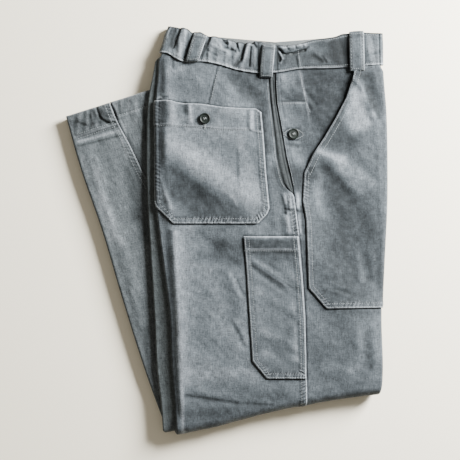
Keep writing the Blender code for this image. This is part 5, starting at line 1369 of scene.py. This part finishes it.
def make_button(name, node, seat, first, second, out, lift):
    """Turned button as rings about its axis: flat foot, rounded side, raised rim and a dished middle whose
    height drops steeply inside four holes; then two bars of pale thread through the holes."""
    radius = np.concatenate((np.linspace(0.0, 5.4, 34), np.linspace(5.6, 7.9, 14), (8.0, 7.9, 7.2, 6.0, 3.0, 0.0)))
    rim = bell((radius - RIM_AT) / 0.85)
    height = BUTTON_FACE + 0.95 * rim + 0.10 * smooth((3.4 - radius) / 1.0)
    outer = radius[34:48]
    height[34:48] = BUTTON_FACE + 0.95 * np.where(outer < RIM_AT, rim[34:48],
                                                  1.0 - 0.55 * ((outer - RIM_AT) / 1.2) ** 2)
    height[48:] = (1.5, 0.9, 0.2, 0.0, 0.0, 0.0)
    turn = np.arange(84) * 2.0 * math.pi / 84.0
    px, py = radius[:, None] * np.cos(turn), radius[:, None] * np.sin(turn)
    z = np.repeat(height[:, None], 84, axis=1)
    for k in range(4):
        hx = HOLE_SPREAD * math.cos(math.radians(45.0 + 90.0 * k))
        hy = HOLE_SPREAD * math.sin(math.radians(45.0 + 90.0 * k))
        away = np.hypot(px - hx, py - hy)
        z[:40] -= 1.35 * smooth((HOLE_RADIUS + 0.15 - away[:40]) / 0.3)
    place = seat + px[..., None] * first + py[..., None] * second + (z + lift)[..., None] * out
    index = grid_index(*place.shape[:2], ring=True)
    quads = grid_quads(index[1:-1])
    cap, under = index[1, :-1], index[-2, :-1]
    fans = np.concatenate((np.stack((np.full(84, index[0, 0]), cap, np.roll(cap, -1)), -1),
                           np.stack((np.full(84, index[-1, 0]), np.roll(under, -1), under), -1)))
    used, back = np.unique(np.concatenate((quads.ravel(), fans.ravel())), return_inverse=True)
    faces = back[:quads.size].reshape(-1, 4).tolist() + back[quads.size:].reshape(-1, 3).tolist()
    body = add_mesh(name, place.reshape(-1, 3)[used] * MM, faces, RESIN)
    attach(body, "root")
    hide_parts(node)
    h = HOLE_SPREAD * math.cos(math.radians(45.0))
    offsets = np.array([(side * h + beside,) for side in (-1.0, 1.0) for beside in (-0.3, 0.0, 0.3)])
    middle = seat + offsets * first + (2.0 + lift) * out
    half = (h + 0.55) * second
    bars = stitching(name + "_thread", [(middle - half, middle + half, np.repeat(out[None], len(middle), axis=0))])
    bars.data.materials[0] = PALE_THREAD


def make_buttonhole(name, surface, x, y, long, wide, turn):
    """Sewn rim of a buttonhole: a ring of short crosswise stitches along a pointed oval, half of which is a
    sine arch of the run along the slit."""
    count = 64
    t = np.arange(count) / count
    half = np.where(t < 0.5, 1.0, -1.0)
    run = np.where(t < 0.5, 1.0 - 4.0 * t, 4.0 * t - 3.0)
    px = long / 2.0 * run
    py = half * wide / 2.0 * np.sin(math.pi * (run + 1.0) / 2.0) ** 0.8
    nx, ny = np.gradient(py), -np.gradient(px)
    size = np.maximum(np.hypot(nx, ny), 1e-6)
    nx, ny = nx / size, ny / size
    c, s = math.cos(turn), math.sin(turn)
    lines = []
    for reach in (-0.75, 0.75, 0.0):
        qx, qy = px + reach * nx, py + reach * ny
        at_x, lying = x + c * qx - s * qy, y + s * qx + c * qy
        lines.append((at_x, flat_y(at_x, lowered(lying))))
    start, end = (surface(*lines[k], 0.12) for k in (0, 1))
    out = surface(*lines[2], 0.8) - surface(*lines[2], 0.1)
    stitching(name, [(start, end, out)])


def make_buttons(back_face):
    """Both buttons, with their buttonholes."""
    front = panel_surface(1)
    seat, first, second, out = button_frame(back_face, -30.9, 161.7, 0.3)
    make_button("back_pocket_button", "pocket_button", seat, first, second, out, GAP + 0.25)
    make_buttonhole("back_pocket_buttonhole", back_face, -30.9, 156.5, 20.0, 2.6, math.pi / 2.0)
    seat, first, second, out = button_frame(front, 97.6, 140.9, 0.1)
    make_button("side_opening_button", "side_button", seat, first, second, out, GAP + 0.25)
    make_buttonhole("side_opening_buttonhole", front, 97.6, 140.9, 29.0, 15.0, -0.06)


# Turned-under legs.

def leg_place(run, s, z):
    """Place on the lower leg: a share of the way from its left to its right edge, at a height."""
    left = np.stack((through(LEG_ROWS, 1, run), through(LEG_ROWS, 2, run)), -1)
    right = np.stack((through(LEG_ROWS, 3, run), through(LEG_ROWS, 4, run)), -1)
    span = right - left
    plan = left + span / np.linalg.norm(span, axis=-1, keepdims=True) * np.asarray(s, float)[..., None]
    dip = through(FOLD_DIP, 1, np.clip(plan[..., 0], -70.0, 221.0))
    plan[..., 1] += dip * smooth((np.asarray(run) - LEG_DIP_FROM) / (LEG_ROWS[-1, 0] - LEG_DIP_FROM))
    plan = plan + PLAN_SHIFT
    return np.concatenate((plan, np.broadcast_to(z, plan.shape[:-1])[..., None]), -1)


def leg_seam(run):
    """Distance of the lower leg's side seam from its left edge."""
    return through(LEG_SEAM, 1, np.clip(run, 0.0, 200.0))


LEG_FELL = 9.5          # width of the lower leg's felled seam


def leg_relief(run, s):
    """Height and tone of the lower leg's cloth: its folds, the stitched hem and the felled seam."""
    where = leg_place(run, s, np.zeros(s.shape))
    x, y = where[..., 0], where[..., 1]
    room = smooth((s - 6.0) / 12.0)
    height = (ridges(LEG_FOLDS, x, y) + 0.8 * sway(x, y)) * room
    from_seam = s - leg_seam(run)
    left_side = smooth(-from_seam / 3.0)
    depth = 22.0 + 8.0 * left_side
    pucker = np.sin(s / 1.5 + 1.5 * np.sin(s / 6.0) + run / 5.0) * (0.6 + 0.4 * np.sin(s / 11.0))
    inside = smooth((depth - run) / 2.0) * smooth((run + 0.5) / 3.0)
    height = height + (0.35 * inside + (0.15 + 0.20 * left_side) * pucker * inside) * room
    lines = bell((run - depth) / 0.9) + left_side * bell((run - depth - 6.5) / 0.9)
    height = height - 0.35 * lines * room - 0.6 * clamp(1.0 - run / 1.4) ** 2
    fell, wear_and_highlight, deep = hem(-from_seam, run, LEG_FELL, rise=0.35, pucker=0.40, pitch=5.5)
    on_left = smooth((0.3 - from_seam) / 0.3)
    after = bell((from_seam - 1.2) / 1.2) * (1.0 - on_left)
    height = height + fell * on_left
    # Tone: the hem's edge is pale with wear; the pucker tops and the line beside the hem's stitching are pale with
    # wear and painted highlight; the stitch lines, pucker troughs and the cloth beside the felled seam get painted
    # shade; the crests of the folds are painted a little paler.
    wear_and_highlight = 0.55 * wear_and_highlight * on_left + 0.45 * bell(run / 1.3) + 0.20 * clamp(pucker) * inside
    wear_and_highlight = wear_and_highlight + 0.25 * bell((run - depth - 3.4) / 1.6) * left_side
    deep = deep * on_left + 0.4 * lines + 0.35 * clamp(-pucker) * inside * left_side + 0.35 * after
    pale = ridges(LEG_FADE_AND_SHADE_PATCHES, x, y) + 0.10 * np.clip(ridges(LEG_FOLDS, x, y), -1.5, 1.5)
    return height, tones(pale, wear_and_highlight, deep)


def leg_surface(s, run, rise):
    """Place on the face of the lower leg at a height above it."""
    height, _ = leg_relief(run, s)
    return leg_place(run, s, LEG_HEIGHT + height + rise)


def make_lower_legs():
    """Visible cloth of the turned-under leg: the back rolled over its left edge, the front beyond the seam."""
    run = np.linspace(0.0, LEG_CLOTH_END, 300)[:, None]
    turn = np.linspace(math.pi, 0.0, 13)[None]
    width = through(LEG_ROWS, 5, run)
    reach = np.minimum(width, leg_seam(run) - GAP / 2.0)
    flat = LEG_ROLL + (reach - LEG_ROLL) * np.linspace(0.0, 1.0, 62)[None, 1:]
    rolled = np.repeat(LEG_ROLL * (1.0 - np.sin(turn)), 300, axis=0)
    height, tone = leg_relief(np.repeat(run, 61, axis=1), flat)
    low = np.repeat(LEG_HEIGHT - LEG_ROLL * (1.0 - np.cos(turn)), 300, axis=0)
    first = np.full((300, 1), LEG_ROLL + SIDE_WRAP)
    s = np.concatenate((first, rolled, flat), axis=1)
    z = np.concatenate((np.full((300, 1), LEG_HEIGHT - 2.0 * LEG_ROLL), low, LEG_HEIGHT + height), axis=1)
    place = leg_place(np.repeat(run, s.shape[1], axis=1), s, z)
    across = np.concatenate((np.full((300, 1), LEG_ROLL - math.pi * LEG_ROLL - SIDE_WRAP),
                             np.repeat(LEG_ROLL * (1.0 - turn), 300, axis=0), flat), axis=1)
    plan = np.stack((across, np.repeat(-run, s.shape[1], axis=1)), -1)
    # The rolled edge is painted a touch darker as shade.
    whole = np.concatenate((np.broadcast_to((-0.1, 0.0, 0.1), (300, 14, 3)), tone), axis=1)
    body = cloth_object("turned_under_back_panel", place, plan, whole, DENIM_LEG)
    finish_sheet(body, "lower_leg_back_panel")
    run = np.linspace(0.0, 168.0, 110)[:, None]
    start = leg_seam(run) + GAP / 2.0
    s = start + np.maximum(through(LEG_ROWS, 5, run) - start, 0.6) * np.linspace(0.0, 1.0, 54)[None]
    run = np.repeat(run, 54, axis=1)
    height, tone = leg_relief(run, s)
    plan = np.stack((s, -run), -1)
    body = cloth_object("turned_under_front_panel", leg_place(run, s, LEG_HEIGHT + height), plan, tone, DENIM_LEG)
    finish_sheet(body, "lower_leg_front_panel")
    down = np.linspace(2.0, 165.0, 40)
    lines = [(np.linspace(8.0, 66.0, 40), np.full(40, 30.0)), (np.linspace(8.0, 66.0, 40), np.full(40, 36.5)),
             (np.linspace(71.0, 143.0, 40), np.full(40, 22.0)),
             (leg_seam(down) - 2.0, down), (leg_seam(down) - LEG_FELL + 1.6, down)]
    rows = [stitch_row(np.stack(line, -1), leg_surface, 0.1) for line in lines]
    bar = np.stack((leg_seam(np.full(9, 142.0)) + np.linspace(-9.0, -1.0, 9), np.full(9, 142.0)), -1)
    rows.append(stitch_row(bar, leg_surface, 0.2))
    rows.append(stitch_row(bar + (0.0, 1.2), leg_surface, 0.2))
    stitching("lower_leg_stitching", rows)


# Hidden layers, with the rolled edges of the plies that show at the sides.

def soft_ring(name, place, plan, *nodes):
    """A closed lofted piece of the inner layers."""
    tone = tones(0.10 * sway(plan[..., 0], plan[..., 1]), 0.0, 0.0)
    body = cloth_object(name, place, plan, tone, SHADED_INNER_DENIM, wall=0.0, ring=True)
    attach(body, "root")
    for node in nodes:
        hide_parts(node)


def make_inner_upper():
    """Section ring of the upper stack carried from the waist round the knee fold: the face beneath the
    panels, a groove at half height, the rolled edges of the leg beneath, and the flat underside."""
    rows = np.concatenate((np.linspace(283.5, PANEL_TOP + 1.2, 14), np.linspace(PANEL_TOP, FOLD_MIDDLE, 150),
                           np.linspace(FOLD_MIDDLE, bend_row(180.0) - 4.0, 16)[1:]))[:, None]
    stops = np.linspace(0.0, 1.0, 70)[None]
    y = np.repeat(rows, 70, axis=1)
    for _ in range(6):
        left, right, _ = edges(y)
        x = left + (right - left) * stops
        y = row_line(rows, x)
    turn = np.linspace(0.0, 1.0, 9)[None, :-1] * math.pi
    left_y, right_y = y[:, :1], y[:, -1:]
    left, _, left_stack = edges(left_y)
    _, right, right_stack = edges(right_y)
    drop = np.where(rows > PANEL_TOP + 1.0, 0.1, CORE_DROP)
    at_left = left + left_stack / 4.0 - left_stack / 4.0 * (math.pi - turn)
    at_right = right - right_stack / 4.0 + right_stack / 4.0 * (turn + math.pi / 8.0)
    inner = left + left_stack / 4.0 + (right - right_stack / 4.0 - left - left_stack / 4.0) * stops
    top_x = np.concatenate((at_left, inner, at_right), axis=1)
    top_y = row_line(rows, top_x)
    seam = np.interp(top_y, SIDE_EDGES[:, 0], SIDE_EDGES[:, 1])
    deeper = (CLOTH + GAP) * np.exp(-((top_x - seam - 8.0) / 14.0) ** 4) * smooth((top_y - 38.0) / 10.0)
    deeper = deeper * (rows < PANEL_TOP + 1.0)
    top = upper_cloth(top_x, top_y, -drop - 0.15 - deeper)
    under_left = through(SECTIONS, 3, left_y)
    tuck = under_band(left_y)
    under_left = (1.0 - tuck) * under_left + tuck * (left + 1.5)
    under_left = under_left + 1.1 * np.maximum(past_fold(under_left, left_y), 0.0) * math.sin(FOLD_TILT)
    floor = (BAND_CLOTH + GAP) * under_band(left_y)
    low_left, low_right = (left_stack / 2.0 - GAP - floor) / 2.0, (right_stack / 2.0 - GAP - floor) / 2.0
    arc = np.linspace(0.0, math.pi, 11)[None]

    def level(at, n):
        """Places at x and a height, on every row."""
        at = at + np.zeros((len(rows), 1))
        return settle(at, row_line(rows, at), n + np.zeros(at.shape))

    ply = 0.22 * np.cos(arc * 2.0) + 0.12 * np.sin(rows / 9.0)
    parts = (
        top,
        level(right - 9.0, right_stack / 2.0 + drop),
        level(right - 9.0, right_stack / 2.0 - GAP),
        level(right - 1.5 - low_right + (low_right + ply) * np.sin(arc), floor + low_right * (1.0 + np.cos(arc))),
        level(right - 12.0 - (right - under_left - 24.0) * np.linspace(0.02, 0.98, 24)[None], floor),
        level(under_left + low_left - (low_left + ply) * np.sin(arc[:, ::-1]),
              floor + low_left * (1.0 + np.cos(arc[:, ::-1]))),
        level(left + 9.0, left_stack / 2.0 - GAP),
        level(left + 9.0, left_stack / 2.0 + drop))
    place = np.concatenate(parts, axis=1)
    run = np.cumsum(np.concatenate((np.zeros((len(rows), 1)),
                                    np.linalg.norm(np.diff(place, axis=1), axis=2)), axis=1), axis=1)
    plan = np.stack((run, np.repeat(rows, place.shape[1], axis=1)), -1)
    soft_ring("inner_layers_upper", place, plan, "hidden_layers")


def make_inner_lower():
    """Section ring of the turned-under legs: two rolled plies at each side, flat where they rest."""
    run = np.concatenate(((2.5,), np.linspace(6.0, 471.0, 120)))[:, None]
    ends = [through(LEG_ROWS, k, run) for k in (1, 2, 3, 4)]
    width = np.hypot(ends[2] - ends[0], ends[3] - ends[1])
    drop = CORE_DROP + 0.1
    roll = LEG_ROLL - drop
    low = (LEG_HEIGHT - 2.0 * LEG_ROLL - GAP) / 2.0
    shelf = LEG_HEIGHT - 2.0 * LEG_ROLL + drop
    arc = np.linspace(0.0, math.pi, 11)[None]
    wide = np.linspace(0.0, 1.0, 40)[None, 1:-1]
    parts = (
        (9.0 + 0.0 * width, shelf + 0.0 * width),
        (LEG_ROLL - roll * np.sin(arc), LEG_HEIGHT - LEG_ROLL - roll * np.cos(arc)),
        (LEG_ROLL + (width - 2.0 * LEG_ROLL) * wide, LEG_HEIGHT - drop + 0.0 * wide),
        (width - LEG_ROLL + LEG_ROLL * np.sin(arc), LEG_HEIGHT - LEG_ROLL + roll * np.cos(arc)),
        (width - 9.0, shelf + 0.0 * width),
        (width - 9.0, 2.0 * low + 0.0 * width),
        (width - low + low * np.sin(arc), low + low * np.cos(arc)),
        (width - low - (width - 2.0 * low) * wide, 0.0 * wide),
        (low + 0.4 - low * np.sin(arc), low - low * np.cos(arc)),
        (9.0 + 0.0 * width, 2.0 * low + 0.0 * width))
    s, z = (np.concatenate([np.broadcast_to(part[k], (len(run), part[k].shape[1])) for part in parts], axis=1)
            for k in (0, 1))
    place = leg_place(np.repeat(run, s.shape[1], axis=1), s, z)
    across = np.cumsum(np.abs(np.diff(s, axis=1, prepend=0.0)), axis=1)
    plan = np.stack((across, np.repeat(-run, s.shape[1], axis=1)), -1)
    soft_ring("inner_layers_lower", place, plan)


make_panels()
make_placket()
back_pocket_face = make_pockets()
make_band_half("gathered_waistband", "waistband_back", -1, 150)
make_band_half("front_waistband", "waistband_front", 1, 110)
make_belt_loops()
make_buttons(back_pocket_face)
make_lower_legs()
make_inner_upper()
make_inner_lower()


# Floor, light and camera.

FLOOR_HALF = 4.8        # metres
FLOOR_POINTS = 33


def make_floor():
    """Plain pale surface, a very slight swell of two sines on a wide grid."""
    at = np.linspace(-FLOOR_HALF, FLOOR_HALF, FLOOR_POINTS)
    x, y = np.meshgrid(at, at)
    z = -0.0004 - 0.00005 * (1.0 + np.sin(x * 3.0) * np.sin(y * 2.0))
    faces = grid_quads(grid_index(FLOOR_POINTS, FLOOR_POINTS))[:, ::-1].tolist()
    floor = add_mesh("floor", np.stack((x, y, z), -1), faces, FLOOR)


FLOOR, _ = grained("pale_floor", (0.935, 0.880, 0.72), (0.947, 0.893, 0.735), 14.0, 0.9, 0.00005)
make_floor()


def add_light(name, place, aim, size, power, colour):
    """Square area light that looks at a point."""
    data = bpy.data.lights.new(name, "AREA")
    data.size = size
    data.energy = power
    data.color = colour
    light = bpy.data.objects.new(name, data)
    light.location = place
    light.rotation_euler = (Vector(aim) - Vector(place)).to_track_quat("-Z", "Y").to_euler()
    bpy.context.scene.collection.objects.link(light)


add_light("window", (1.36, 0.90, 0.74), (0.0, 0.0, 0.0), 0.70, 262.0, (1.0, 0.995, 0.99))

world = bpy.data.worlds.new("room")
world.use_nodes = True
world.node_tree.nodes["Background"].inputs["Color"].default_value = (1.0, 0.925, 0.81, 1.0)
world.node_tree.nodes["Background"].inputs["Strength"].default_value = 0.34
bpy.context.scene.world = world

AIM = Vector((0.0048, -0.0015, 0.016))
VIEW_TILT = math.radians(87.5)
VIEW_FAR = 2.0
FRAME_WIDTH = 0.6635    # what the picture takes in at the cloth
camera_data = bpy.data.cameras.new("camera")
camera_data.sensor_width = 36.0
camera_data.lens = 36.0 * VIEW_FAR / FRAME_WIDTH
camera = bpy.data.objects.new("camera", camera_data)
camera.location = AIM + VIEW_FAR * Vector((0.0, -math.cos(VIEW_TILT), math.sin(VIEW_TILT)))
camera.rotation_euler = (AIM - camera.location).to_track_quat("-Z", "Y").to_euler()
bpy.context.scene.collection.objects.link(camera)
bpy.context.scene.camera = camera

bpy.context.view_layer.update()
